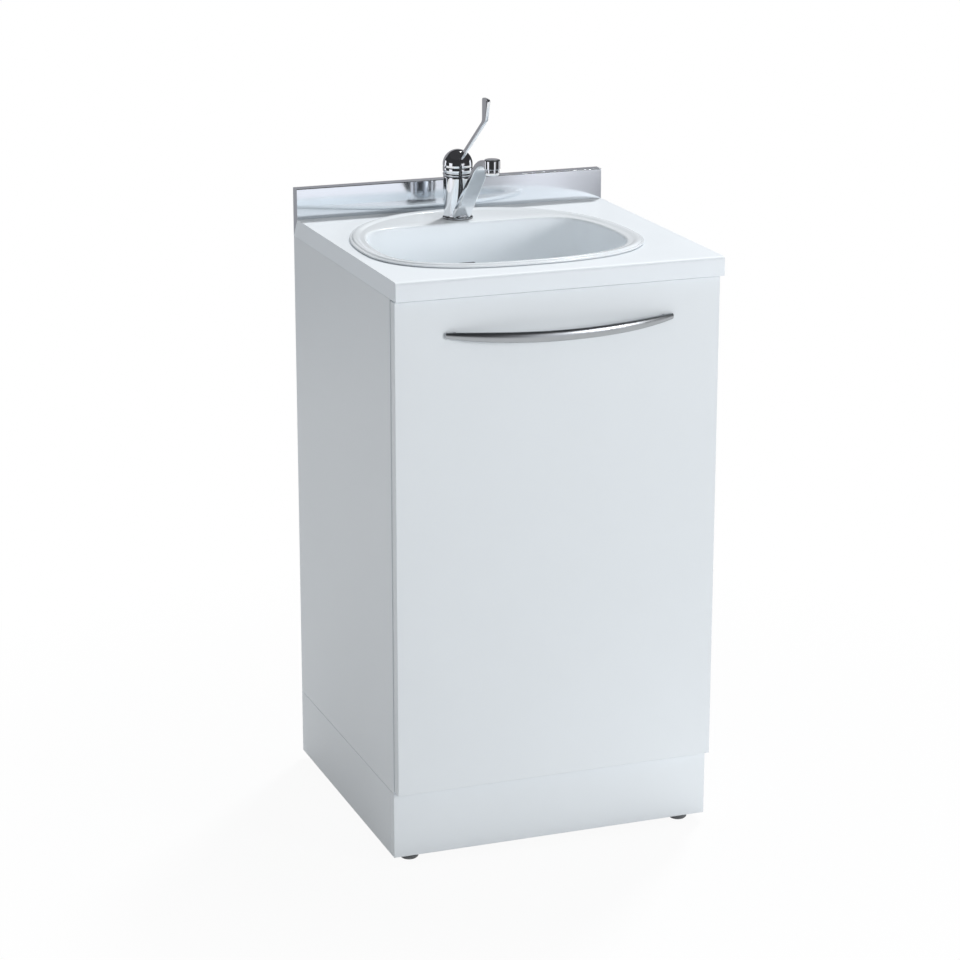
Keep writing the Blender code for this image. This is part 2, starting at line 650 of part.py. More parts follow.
def make_waste(chrome, plastic, rubber):
    """Strainer in the drain, clamped from below by a gasket and a nut."""
    centre = Vector((DRAIN.x, DRAIN.y, 0))
    plate = DRAIN_SEAT + GAP
    tube = STRAINER_TUBE_RADIUS - STRAINER_TUBE_WALL
    profile = [(0, plate), (tube, plate), (tube, TUBE_END), (STRAINER_TUBE_RADIUS, TUBE_END),
               (STRAINER_TUBE_RADIUS, plate), (STRAINER_FLANGE_RADIUS, plate),
               (STRAINER_FLANGE_RADIUS, DRAIN.z), (0, DRAIN.z)]
    strainer = piece("strainer", turned(profile, centre, ROUND), chrome)
    circle = tube - STRAINER_HOLE_RADIUS - STRAINER_TUBE_WALL
    places = [centre]
    for x, y in arc(circle, 0, math.tau, STRAINER_HOLES)[:-1]:
        places.append(centre + Vector((x, y, 0)))
    low, high = plate - STRAINER_FLANGE, DRAIN.z + STRAINER_FLANGE
    holes = [rod(STRAINER_HOLE_RADIUS, low, high, place, SMALL) for place in places]
    combine(strainer, gathered(holes))
    bore = STRAINER_TUBE_RADIUS + GAP
    gasket_high = DRAIN_UNDER - GAP
    gasket_low = gasket_high - WASTE_GASKET_THICKNESS
    piece("waste_gasket", ring(WASTE_GASKET_RADIUS, bore, gasket_low, gasket_high, centre, ROUND), rubber)
    nut_high = gasket_low - GAP
    nut = ring(WASTE_NUT_RADIUS, bore, nut_high - WASTE_NUT_HEIGHT, nut_high, centre, ROUND)
    piece("waste_nut", nut, plastic)


def make_trap(plastic):
    """Tailpiece, bottle trap with its cup, and the outlet pipe to the back."""
    centre = Vector((DRAIN.x, DRAIN.y, 0))
    bore, pipe_bore = PIPE_RADIUS - PIPE_WALL, PIPE_RADIUS + GAP
    cup_bore, cup = STRAINER_TUBE_RADIUS + GAP, TAILPIECE_CUP_RADIUS
    seat = TUBE_END - GAP
    cup_top = seat + TAILPIECE_CUP_HEIGHT
    tail_end = TUBE_END - TAILPIECE_LENGTH
    profile = [(bore, tail_end), (PIPE_RADIUS, tail_end), (PIPE_RADIUS, seat - 2 * PIPE_WALL),
               (cup, seat - PIPE_WALL), (cup, cup_top), (cup_bore, cup_top), (cup_bore, seat), (bore, seat)]
    piece("tailpiece", turned(profile, centre, ROUND), plastic)
    nut_low = TRAP_TOP + GAP
    nut = ring(UNION_NUT_RADIUS, pipe_bore, nut_low, nut_low + UNION_NUT_HEIGHT, centre, ROUND)
    piece("trap_inlet_nut", nut, plastic)
    floor = tail_end - GAP
    trap_end = TRAP_TOP - TRAP_HEIGHT
    shoulder = trap_end + TRAP_THREAD_LENGTH
    profile = [(0, floor), (pipe_bore, floor), (pipe_bore, TRAP_TOP), (UNION_NUT_RADIUS, TRAP_TOP),
               (TRAP_RADIUS, TRAP_TOP - 2 * PIPE_WALL), (TRAP_RADIUS, shoulder),
               (TRAP_THREAD_RADIUS, shoulder), (TRAP_THREAD_RADIUS, trap_end), (0, trap_end)]
    body = piece("trap_body", turned(profile, centre, ROUND), plastic)
    outlet = Vector((centre.x, centre.y, OUTLET_Z))
    neck_end = TRAP_RADIUS + TRAP_NECK_LENGTH
    neck = rod(PIPE_RADIUS + PIPE_WALL, pipe_bore + PIPE_WALL, neck_end, outlet, ROUND, BACKWARDS)
    combine(body, neck, "UNION")
    combine(body, rod(bore, TRAP_RADIUS, neck_end + PIPE_WALL, outlet, ROUND, BACKWARDS))
    cup_inner = TRAP_THREAD_RADIUS + GAP
    cup_outer = cup_inner + TRAP_CUP_WALL
    cup_top = shoulder - GAP
    cup_low = cup_top - TRAP_CUP_HEIGHT
    profile = [(0, cup_low), (cup_inner - TRAP_CUP_WALL, cup_low), (cup_outer, cup_low + 2 * TRAP_CUP_WALL),
               (cup_outer, cup_top), (cup_inner, cup_top), (cup_inner, cup_low + 2 * TRAP_CUP_WALL),
               (cup_inner - TRAP_CUP_WALL, cup_low + TRAP_CUP_WALL), (0, cup_low + TRAP_CUP_WALL)]
    piece("trap_cup", turned(profile, centre, ROUND), plastic)
    start = neck_end + GAP
    pipe = ring(PIPE_RADIUS, bore, start, BACK - centre.y, outlet, ROUND, BACKWARDS)
    piece("outlet_pipe", pipe, plastic)
    nut = ring(UNION_NUT_RADIUS, pipe_bore, start, start + UNION_NUT_HEIGHT, outlet, ROUND, BACKWARDS)
    piece("trap_outlet_nut", nut, plastic)


def spout_line():
    """Middle of the spout from the side, as (out, up) points: a climb, a bend and a level end."""
    root = Vector((SPOUT_ROOT_OUT, SPOUT_ROOT_HEIGHT))
    corner_out = root.x + (SPOUT_HEAD_HEIGHT - root.y) / math.tan(SPOUT_ANGLE)
    corner = Vector((corner_out, SPOUT_HEAD_HEIGHT))
    before = corner - SPOUT_BEND * Vector((math.cos(SPOUT_ANGLE), math.sin(SPOUT_ANGLE)))
    after = corner + Vector((SPOUT_BEND, 0))
    line = [root]
    for i in range(6):
        t = i / 5
        line.append(before * (1 - t) ** 2 + corner * 2 * t * (1 - t) + after * t ** 2)
    line.append(Vector((SPOUT_REACH, SPOUT_HEAD_HEIGHT)))
    return line


def spout_shape():
    """Flat tapering bar that climbs from the body's foot and levels off into the head."""
    line = spout_line()
    loops = []
    for i, point in enumerate(line):
        way = line[min(i + 1, len(line) - 1)] - line[max(i - 1, 0)]
        normal = Vector((-way.y, way.x)).normalized()
        share = (point.x - SPOUT_ROOT_OUT) / (SPOUT_REACH - SPOUT_ROOT_OUT)
        half = (SPOUT_ROOT_WIDTH + (SPOUT_HEAD_WIDTH - SPOUT_ROOT_WIDTH) * share) / 2
        thick = SPOUT_THICKNESS / 2
        section = rounded([(sx * half, sz * thick, SPOUT_CORNER) for sx, sz in CORNER_SIGNS], 2)
        loop = []
        for x, z in section:
            out, up = point + normal * z
            loop.append(TAP + Vector((x, -out, up)))
        loops.append(loop)
    return lofted(loops, False)


def make_tap_body(chrome, plastic):
    """Cast body with its spout, the aerator, the cartridge inside and the collar that holds it."""
    bore = CARTRIDGE_RADIUS + GAP
    profile = [(0, 0), (TAP_BASE_RADIUS, 0), (TAP_BASE_RADIUS, TAP_BASE_FLANGE - TAP_EDGE),
               (TAP_FOOT_RADIUS, TAP_BASE_FLANGE),
               (TAP_BODY_RADIUS, TAP_BODY_HEIGHT - TAP_EDGE), (TAP_BODY_RADIUS - TAP_EDGE, TAP_BODY_HEIGHT),
               (bore, TAP_BODY_HEIGHT), (bore, CARTRIDGE_FLOOR), (0, CARTRIDGE_FLOOR)]
    body = piece("tap_body", turned(profile, TAP, FINE), chrome)
    combine(body, spout_shape(), "UNION")
    combine(body, rod(SHANK_RADIUS + GAP, -SHANK_SOCKET, SHANK_SOCKET, TAP, ROUND))
    combine(body, rod(HEAD_RADIUS, 0, HEAD_HEIGHT, HEAD, ROUND), "UNION")
    thread, rim = AERATOR_THREAD_RADIUS, AERATOR_RADIUS
    combine(body, rod(thread + GAP, -HEAD_HEIGHT, AERATOR_THREAD + GAP, HEAD, ROUND))
    low = -AERATOR_HEIGHT
    mesh_z = low + AERATOR_RIM
    mouth = rim - 2 * AERATOR_RIM
    profile = [(0, AERATOR_THREAD), (thread, AERATOR_THREAD), (thread, -GAP), (rim, -GAP), (rim, mesh_z),
               (rim - AERATOR_RIM / 2, low), (mouth, low), (mouth, mesh_z), (0, mesh_z)]
    piece("aerator", turned(profile, HEAD, ROUND), chrome)
    floor, top = CARTRIDGE_FLOOR + GAP, TAP_BODY_HEIGHT - CARTRIDGE_TOP_DROP
    hole = SPINDLE_RADIUS + GAP
    spindle_end = BALL.z - TAP.z - BALL_SKIRT - SPINDLE_LENGTH
    profile = [(0, floor), (CARTRIDGE_RADIUS, floor), (CARTRIDGE_RADIUS, top), (hole, top),
               (hole, spindle_end - GAP), (0, spindle_end - GAP)]
    piece("cartridge", turned(profile, TAP, ROUND), plastic)
    inner, groove = DOME_RADIUS - DOME_WALL, DOME_RADIUS - COLLAR_GROOVE
    profile = [(inner, 0), (groove, 0), (DOME_RADIUS, COLLAR_GROOVE), (DOME_RADIUS, 2 * COLLAR_GROOVE),
               (groove, 3 * COLLAR_GROOVE), (groove, COLLAR_HEIGHT / 2 - COLLAR_GROOVE),
               (DOME_RADIUS, COLLAR_HEIGHT / 2), (DOME_RADIUS, COLLAR_HEIGHT), (inner, COLLAR_HEIGHT)]
    piece("tap_collar", turned(profile, TAP + (TAP_BODY_HEIGHT + GAP) * UP, FINE), chrome)


def make_tap_fixing(steel, rubber):
    """Gasket, hollow shank, washer and nut that clamp the tap to the ledge, and its two inlets."""
    foot = Vector((TAP.x, TAP.y, 0))
    low = LEDGE_Z + GAP
    high = low + TAP_GASKET_THICKNESS
    gasket = ring(TAP_BASE_RADIUS, SHANK_RADIUS + SHANK_CLEARANCE, low, high, foot, FINE)
    piece("tap_gasket", gasket, rubber)
    shank_top = TAP.z + SHANK_SOCKET - GAP
    shank = ring(SHANK_RADIUS, SHANK_RADIUS - SHANK_WALL, shank_top - SHANK_LENGTH, shank_top, foot, ROUND)
    piece("tap_shank", shank, steel)
    bore = SHANK_RADIUS + GAP
    washer_high = LEDGE_UNDER - GAP
    washer_low = washer_high - TAP_WASHER_THICKNESS
    piece("tap_washer", ring(TAP_WASHER_RADIUS, bore, washer_low, washer_high, foot, ROUND), steel)
    nut_high = washer_low - GAP
    nut_low = nut_high - TAP_NUT_HEIGHT
    nut = piece("tap_nut", rod(TAP_NUT_RADIUS, nut_low, nut_high, foot, 6), steel)
    combine(nut, rod(bore, nut_low - TAP_NUT_HEIGHT, nut_high + TAP_NUT_HEIGHT, foot, ROUND))
    for name, side in (("hot", -1), ("cold", 1)):
        place = foot + side * INLET_SPACING / 2 * RIGHT
        piece(f"inlet_{name}", rod(INLET_RADIUS, shank_top - INLET_LENGTH, shank_top, place, SMALL), steel)


def lever_blade():
    """Upright strip: a rising arm with a paddle turned up at its end, drawn from the side."""
    rise = Vector((math.cos(LEVER_ANGLE), math.sin(LEVER_ANGLE)))
    side = Vector((-rise.y, rise.x)) * LEVER_DEPTH / 2
    root = rise * (DOME_RADIUS - DOME_WALL * 0.6)
    slope, half = math.tan(LEVER_ANGLE), LEVER_DEPTH / 2 / math.cos(LEVER_ANGLE)
    front = LEVER_PADDLE_OUT + LEVER_PADDLE_ROOT
    tip = LEVER_PADDLE_OUT + LEVER_PADDLE_END
    corners = [(*(root - side), 0), (front, front * slope - half, LEVER_BEND_RADIUS),
               (tip, LEVER_TOP, LEVER_CORNER_RADIUS), (LEVER_PADDLE_OUT, LEVER_TOP, LEVER_CORNER_RADIUS),
               (LEVER_PADDLE_OUT, LEVER_PADDLE_OUT * slope + half, LEVER_BEND_RADIUS), (*(root + side), 0)]
    outline = [(BALL.y - out, BALL.z + up) for out, up in rounded(corners)]
    return extruded(outline, 0, BALL.x - LEVER_THICKNESS / 2, BALL.x + LEVER_THICKNESS / 2)


def make_lever(chrome, steel):
    """Ball that swivels on the cartridge, its cross pin, and the domed cap with the elbow lever."""
    swivel = pivot("swivel_axis", BALL)
    lift = pivot("lift_axis", BALL, swivel)
    inner = DOME_RADIUS - DOME_WALL
    ball = inner - BALL_CLEARANCE
    foot = -BALL_SKIRT - SPINDLE_LENGTH
    crown = arc(ball, -math.asin(BALL_SKIRT / ball), math.pi / 2, 7)[:-1]
    profile = [(0, foot), (SPINDLE_RADIUS, foot), (SPINDLE_RADIUS, -BALL_SKIRT), *crown, (0, ball)]
    core = piece("lever_ball", turned(profile, BALL, ROUND), steel, swivel)
    pin_bore = TILT_PIN_RADIUS + GAP
    combine(core, rod(pin_bore, -DOME_RADIUS, DOME_RADIUS, BALL, SMALL, RIGHT))
    socket = inner + DOME_WALL / 2
    pin_end = socket - GAP
    piece("lever_pin", rod(TILT_PIN_RADIUS, -pin_end, pin_end, BALL, SMALL, RIGHT), steel, swivel)
    inside = arc(inner, math.pi / 2, 0, 7)[1:]
    outside = arc(DOME_RADIUS, 0, math.pi / 2, 9)[:-1]
    profile = [(0, inner), *inside, (inner, -DOME_SKIRT), (DOME_RADIUS, -DOME_SKIRT), *outside,
               (0, DOME_RADIUS)]
    lever = piece("lever", turned(profile, BALL, FINE), chrome, lift)
    combine(lever, lever_blade(), "UNION")
    far = 2 * DOME_RADIUS
    rim = BALL.z - DOME_SKIRT - GAP
    wedge = [(BALL.y, rim), (BALL.y + far, rim), (BALL.y + far, rim + far * math.tan(TILT_RELIEF))]
    combine(lever, extruded(wedge, 0, BALL.x - far, BALL.x + far))
    combine(lever, rod(pin_bore, -socket, socket, BALL, SMALL, RIGHT))


def hinge_heights():
    return [DOOR_LOW + HINGE_INSET, DOOR_HIGH - HINGE_INSET]


def leaf_recess(width, face, middle):
    """Shallow pocket that a hinge leaf lies in, open at the board's outer edge."""
    half = HINGE_LENGTH / 2 + GAP
    low = (LEAF_EDGE - width - GAP, face - LEAF_RECESS, middle - half)
    return block(low, (HINGE_AXIS.x, face + LEAF_RECESS, middle + half))


def knuckle(low, high, leaf_y):
    """Barrel of one knuckle with the tongue that runs from it into the leaf."""
    near, far = leaf_y - HINGE_AXIS.y, leaf_y - HINGE_AXIS.y + LEAF_THICKNESS
    first = math.pi - math.asin(near / KNUCKLE_RADIUS)
    last = 3 * math.pi - math.asin(far / KNUCKLE_RADIUS)
    root = LEAF_EDGE - LEAF_THICKNESS - HINGE_AXIS.x
    outline = [(root, far), (root, near)] + arc(KNUCKLE_RADIUS, first, last, SMALL)
    return extruded([(HINGE_AXIS.x + x, HINGE_AXIS.y + y) for x, y in outline], 2, low, high)


def hinge_leaf(name, middle, first, width, leaf_y, steel, joint=None):
    """Plate in its recess, with every second knuckle of the barrel."""
    half = HINGE_LENGTH / 2
    pitch = HINGE_LENGTH / KNUCKLES
    ease = KNUCKLE_CLEARANCE / 2
    low_corner = (LEAF_EDGE - width, leaf_y, middle - half)
    plate = block(low_corner, (LEAF_EDGE, leaf_y + LEAF_THICKNESS, middle + half))
    leaf = piece(name, plate, steel, joint)
    barrels = []
    for i in range(first, KNUCKLES, 2):
        low = middle - half + i * pitch
        barrels.append(knuckle(low + ease, low + pitch - ease, leaf_y))
    combine(leaf, gathered(barrels), "UNION")
    bore = rod(HINGE_PIN_RADIUS + GAP, -HINGE_LENGTH, HINGE_LENGTH, HINGE_AXIS + middle * UP, SMALL)
    combine(leaf, bore)


def make_hinges(steel, swing):
    frame_y = FRONT + LEAF_RECESS - GAP - LEAF_THICKNESS
    door_y = DOOR_BACK - LEAF_RECESS + GAP
    half = HINGE_LENGTH / 2 + GAP
    for name, middle in zip(("lower", "upper"), hinge_heights()):
        hinge_leaf(f"hinge_{name}_frame_leaf", middle, 0, FRAME_LEAF_WIDTH, frame_y, steel)
        hinge_leaf(f"hinge_{name}_door_leaf", middle, 1, DOOR_LEAF_WIDTH, door_y, steel, swing)
        top = half + HINGE_PIN_HEAD
        profile = [(0, -half), (HINGE_PIN_RADIUS, -half), (HINGE_PIN_RADIUS, half),
                   (HINGE_PIN_HEAD_RADIUS, half), (HINGE_PIN_RADIUS, top), (0, top)]
        piece(f"hinge_{name}_pin", turned(profile, HINGE_AXIS + middle * UP, SMALL), steel)


def handle_section(share):
    """Bow of the bar at a share of its half length: its stand-off from the door, thickness and height."""
    bow = 1 - share ** 2
    size = HANDLE_TIP_SHARE + (1 - HANDLE_TIP_SHARE) * bow
    stand = GAP + (HANDLE_REACH - HANDLE_BAR_THICKNESS - GAP) * bow
    return stand, HANDLE_BAR_THICKNESS * size, HANDLE_BAR_HEIGHT * size


def make_handle(satin, steel, swing):
    """Bow handle on two posts, held by screws through the door."""
    loops = []
    for i in range(HANDLE_STEPS + 1):
        share = 2 * i / HANDLE_STEPS - 1
        stand, thick, tall = handle_section(share)
        x, middle = share * HANDLE_LENGTH / 2, DOOR_FRONT - stand - thick / 2
        section = arc(0.5, 0, math.tau, SMALL)[:-1]
        loops.append([(x, middle - thick * y, HANDLE_Z + tall * z) for y, z in section])
    bar = piece("handle", lofted(loops, False), satin, swing)
    stand, thick, _ = handle_section(HANDLE_SPACING / HANDLE_LENGTH)
    bore = HANDLE_SCREW_RADIUS + GAP
    for name, side in (("left", -1), ("right", 1)):
        place = Vector((side * HANDLE_SPACING / 2, DOOR_FRONT, HANDLE_Z))
        combine(bar, rod(HANDLE_POST_RADIUS, GAP, stand + thick / 2, place, SMALL, FORWARDS), "UNION")
        combine(bar, rod(bore, -GAP, HANDLE_SCREW_GRIP + GAP, place, SMALL, FORWARDS))
        tip, head = -HANDLE_SCREW_GRIP, DOOR_THICKNESS + GAP
        end = head + HANDLE_SCREW_HEAD
        profile = [(0, tip), (HANDLE_SCREW_RADIUS, tip), (HANDLE_SCREW_RADIUS, head),
                   (HANDLE_SCREW_HEAD_RADIUS, head), (HANDLE_SCREW_RADIUS, end), (0, end)]
        piece(f"handle_screw_{name}", turned(profile, place, SMALL, BACKWARDS), steel, swing)


def make_door(laminate, satin, steel, plastic):
    """Door on its two hinges, with the handle, bumpers and the catch's strike plate."""
    swing = pivot("door_axis", HINGE_AXIS)
    low, high = (-DOOR_HALF, DOOR_FRONT, DOOR_LOW), (DOOR_HALF, DOOR_BACK, DOOR_HIGH)
    door = board("door", low, high, laminate, swing)
    for middle in hinge_heights():
        combine(door, leaf_recess(DOOR_LEAF_WIDTH, DOOR_BACK, middle))
    for side in (-1, 1):
        place = Vector((side * HANDLE_SPACING / 2, DOOR_FRONT, HANDLE_Z))
        reach = DOOR_THICKNESS + BOARD
        combine(door, rod(HANDLE_SCREW_RADIUS + GAP, -BOARD, reach, place, SMALL, BACKWARDS))
    make_hinges(steel, swing)
    make_handle(satin, steel, swing)
    for name, z in (("lower", DOOR_LOW + BUMPER_INSET), ("upper", DOOR_HIGH - BUMPER_INSET)):
        place = Vector((-WIDTH / 2 + BOARD / 2, DOOR_BACK, z))
        bumper = rod(BUMPER_RADIUS, GAP, DOOR_GAP - GAP, place, SMALL, BACKWARDS)
        piece(f"door_bumper_{name}", bumper, plastic, swing)
    make_catch(steel, plastic, swing)


def make_catch(steel, plastic, swing):
    """Magnetic catch on the left side under the front rail, and the plate it pulls on."""
    high = WORKTOP_UNDER - FRONT_RAIL_HEIGHT - CATCH_DROP
    left = -INNER_HALF + GAP
    face = FRONT + CATCH_SETBACK
    low_corner = (left, face, high - CATCH_HEIGHT)
    board("catch_body", low_corner, (left + CATCH_WIDTH, face + CATCH_DEPTH, high), plastic)
    plate_y = DOOR_BACK + GAP
    middle = high - CATCH_HEIGHT / 2
    low_corner = (left, plate_y, middle - STRIKE_WIDTH / 2)
    plate = block(low_corner, (left + STRIKE_WIDTH, plate_y + STRIKE_THICKNESS, middle + STRIKE_WIDTH / 2))
    piece("strike_plate", plate, steel, swing)


def main():
    clear_scene()
    laminate = finish("white_laminate", (0.80, 0.82, 0.84), 0.35)
    worktop = finish("worktop_laminate", (0.86, 0.87, 0.88), 0.25)
    sheet = finish("back_sheet", (0.78, 0.78, 0.76), 0.60)
    timber = finish("timber", (0.62, 0.48, 0.32), 0.70)
    glaze = finish("white_glaze", (0.88, 0.89, 0.90), 0.08)
    polished = finish("polished_steel", (0.62, 0.64, 0.66), 0.12, 1.0)
    chrome = finish("chrome", (0.78, 0.79, 0.81), 0.06, 1.0)
    satin = finish("satin_chrome", (0.60, 0.61, 0.63), 0.25, 1.0)
    steel = finish("zinc_steel", (0.55, 0.56, 0.58), 0.35, 1.0)
    grey_plastic = finish("grey_plastic", (0.16, 0.17, 0.18), 0.50)
    white_plastic = finish("white_plastic", (0.80, 0.80, 0.79), 0.40)
    rubber = finish("rubber", (0.35, 0.36, 0.37), 0.80)
    silicone = finish("white_silicone", (0.82, 0.83, 0.84), 0.45)
    make_carcass(laminate, sheet)
    make_plinth(laminate, timber)
    make_feet(grey_plastic)
    make_worktop(worktop, polished)
    make_basin(glaze, silicone)
    make_waste(chrome, white_plastic, rubber)
    make_trap(white_plastic)
    make_tap_body(chrome, white_plastic)
    make_tap_fixing(steel, rubber)
    make_lever(chrome, steel)
    make_door(laminate, satin, steel, white_plastic)


main()
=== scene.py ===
"""Looks of the sink cabinet: its finishes, the smooth chrome and china pieces, and a plain studio."""

import json
import math

import bpy
from mathutils import Matrix, Vector


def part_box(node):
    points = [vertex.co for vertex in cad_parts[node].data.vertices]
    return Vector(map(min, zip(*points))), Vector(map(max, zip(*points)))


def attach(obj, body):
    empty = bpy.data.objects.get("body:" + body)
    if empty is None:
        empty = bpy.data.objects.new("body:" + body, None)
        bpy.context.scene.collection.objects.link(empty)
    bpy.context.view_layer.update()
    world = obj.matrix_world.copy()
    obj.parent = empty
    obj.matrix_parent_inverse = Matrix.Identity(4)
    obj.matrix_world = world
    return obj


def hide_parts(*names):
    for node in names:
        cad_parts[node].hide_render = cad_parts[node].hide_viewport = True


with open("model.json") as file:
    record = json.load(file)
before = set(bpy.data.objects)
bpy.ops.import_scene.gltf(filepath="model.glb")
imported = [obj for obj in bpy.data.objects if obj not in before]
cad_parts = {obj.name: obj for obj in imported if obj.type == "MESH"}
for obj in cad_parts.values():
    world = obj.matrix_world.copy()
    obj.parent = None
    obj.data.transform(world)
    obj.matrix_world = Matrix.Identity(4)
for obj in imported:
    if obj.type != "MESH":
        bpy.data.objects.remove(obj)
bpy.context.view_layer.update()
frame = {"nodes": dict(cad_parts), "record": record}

NODES = frame["nodes"]
BODIES = frame["record"]["behaviour"]["bodies"]
BODY_OF = {node: body for body, members in BODIES.items() for node in members}
SLOT_OF = {part["node"]: part["material_slot"] for part in frame["record"]["subparts"]}

UP = Vector((0, 0, 1))
RIGHT = Vector((1, 0, 0))
FORWARDS = Vector((0, -1, 0))
BACKWARDS = Vector((0, 1, 0))
SMOOTH_ANGLE = math.radians(35)
SIDES = 72
SMALL_SIDES = 28
# Small clear space between a new piece and what it meets
GAP = 0.0003

# Places that the pieces share with the solids
WORKTOP_Z = 0.887
BASIN = Vector((-0.021, -0.02845, 0))
DRAIN = Vector((-0.021, -0.01445, 0.742))
TAP = Vector((-0.021, 0.14955, 0.8917))
BALL = Vector((-0.021, 0.14955, 0.9733))
HEAD = Vector((-0.021, 0.00055, 0.9917))


# Camera and studio

CAMERA_PLACE = (-1.5281, -4.0225, 1.7905)
CAMERA_DOWN = math.radians(16.54)
CAMERA_TURN = math.radians(-20.30)
CAMERA_LENS = 110.9
SENSOR_WIDTH = 36

LAMP_AIM = (0, 0, 0.7)
KEY_PLACE = (2.52, 2.63, 5.4)
KEY_SPREAD = math.radians(9)
KEY_STRENGTH = 2.4
FRONT_PLACE = (2.3, -3.4, 1.5)
FRONT_SIZE = 0.7
FRONT_WATTS = 62
BOUNCE_PLACE = (0, -0.42, 0.001)
BOUNCE_WIDTH = 0.9
BOUNCE_DEPTH = 0.36
BOUNCE_WATTS = 0.40

WORLD_TINT = (0.97, 0.985, 1.0, 1)
WORLD_STRENGTH = 0.415
FLOOR_SIZE = 80
FLOOR_Z = -0.0005
FLOOR_COLOUR = (0.68, 0.69, 0.70, 1)
# How the floor's own white takes over from its shading, with the distance from the object
FLOOR_FADE = {"From Min": 0.45, "From Max": 1.2, "To Min": 0.94, "To Max": 1.0}
WHITE = (1, 1, 1, 1)

SCREEN_RADIUS = 2.6
SCREEN_LOW = 0.42
SCREEN_HIGH = 3.3
SCREEN_SIDES = 48
SCREEN_LEVEL = 0.04
CEILING_SIZE = 6
CEILING_LEVEL = 0.05
GLOSS_BLUE = 1.06
# Cards: azimuth from straight in front, distance, width, lower and upper edge, and grey level
CARDS = {
    "grey_panel": (180, 2.2, 3.2, 0.2, 2.2, 0.33),
    "rear_strip": (-132, 2.4, 0.7, 0.4, 1.4, 1.1),
    "left_strip": (-78, 2.4, 1.1, 0.4, 1.4, 1.1),
    "front_strip": (14, 2.4, 0.60, 0.2, 1.4, 1.0),
    "grey_strip": (22.9, 2.4, 0.15, 0.2, 1.4, 0.42),
    "bright_strip": (26.3, 2.4, 0.14, 0.2, 1.4, 0.90),
    "fading_strip": (29.0, 2.4, 0.10, 0.2, 1.4, 0.62),
    "dark_strip": (33.7, 2.4, 0.30, 0.2, 1.4, 0.22),
    "right_strip": (100, 2.4, 0.9, 0.4, 1.4, 1.1),
}


def add_camera():
    """Camera at the photograph's viewing angle, in the frame of a square picture."""
    data = bpy.data.cameras.new("camera")
    data.lens = CAMERA_LENS
    data.sensor_width = SENSOR_WIDTH
    camera = bpy.data.objects.new("camera", data)
    camera.location = CAMERA_PLACE
    camera.rotation_euler = (math.pi / 2 - CAMERA_DOWN, 0, CAMERA_TURN)
    bpy.context.scene.collection.objects.link(camera)
    bpy.context.scene.camera = camera


def facing(place, aim):
    """Turn of a lamp or a card that looks from a place at its aim."""
    return (Vector(aim) - Vector(place)).to_track_quat("-Z", "Y").to_euler()


def add_lamp(kind, place, turn, energy):
    """Lamp of a kind, turned at its place."""
    bpy.ops.object.light_add(type=kind, location=place, rotation=turn)
    lamp = bpy.context.object
    lamp.data.energy = energy
    return lamp


def add_lamps():
    """Key lamp from behind on the right, a lamp in front, and the light that a white floor throws back."""
    key = add_lamp("SUN", KEY_PLACE, facing(KEY_PLACE, LAMP_AIM), KEY_STRENGTH)
    key.data.angle = KEY_SPREAD
    front = add_lamp("AREA", FRONT_PLACE, facing(FRONT_PLACE, LAMP_AIM), FRONT_WATTS)
    front.data.size = FRONT_SIZE
    bounce = add_lamp("AREA", BOUNCE_PLACE, (math.pi, 0, 0), BOUNCE_WATTS)
    bounce.data.shape = "RECTANGLE"
    bounce.data.size = BOUNCE_WIDTH
    bounce.data.size_y = BOUNCE_DEPTH
    bounce.visible_camera = False
    bounce.visible_glossy = False


def seen_directly(nodes):
    """Light Path mask: 1 for what the eye, a mirror or glass sees, 0 for light on other surfaces."""
    path = nodes.new("ShaderNodeLightPath")
    largest = path.outputs["Is Camera Ray"]
    for name in ("Is Glossy Ray", "Is Transmission Ray"):
        larger = nodes.new("ShaderNodeMath")
        larger.operation = "MAXIMUM"
        nodes.id_data.links.new(largest, larger.inputs[0])
        nodes.id_data.links.new(path.outputs[name], larger.inputs[1])
        largest = larger.outputs[0]
    return largest


def add_world():
    """White surroundings to look at, and a softer grey to light the object."""
    world = bpy.data.worlds.new("studio")
    world.use_nodes = True
    nodes, links = world.node_tree.nodes, world.node_tree.links
    lighting = nodes["Background"]
    lighting.inputs["Color"].default_value = WORLD_TINT
    lighting.inputs["Strength"].default_value = WORLD_STRENGTH
    shown = nodes.new("ShaderNodeBackground")
    shown.inputs["Color"].default_value = WHITE
    mix = nodes.new("ShaderNodeMixShader")
    links.new(seen_directly(nodes), mix.inputs[0])
    links.new(lighting.outputs[0], mix.inputs[1])
    links.new(shown.outputs[0], mix.inputs[2])
    links.new(mix.outputs[0], nodes["World Output"].inputs["Surface"])
    bpy.context.scene.world = world


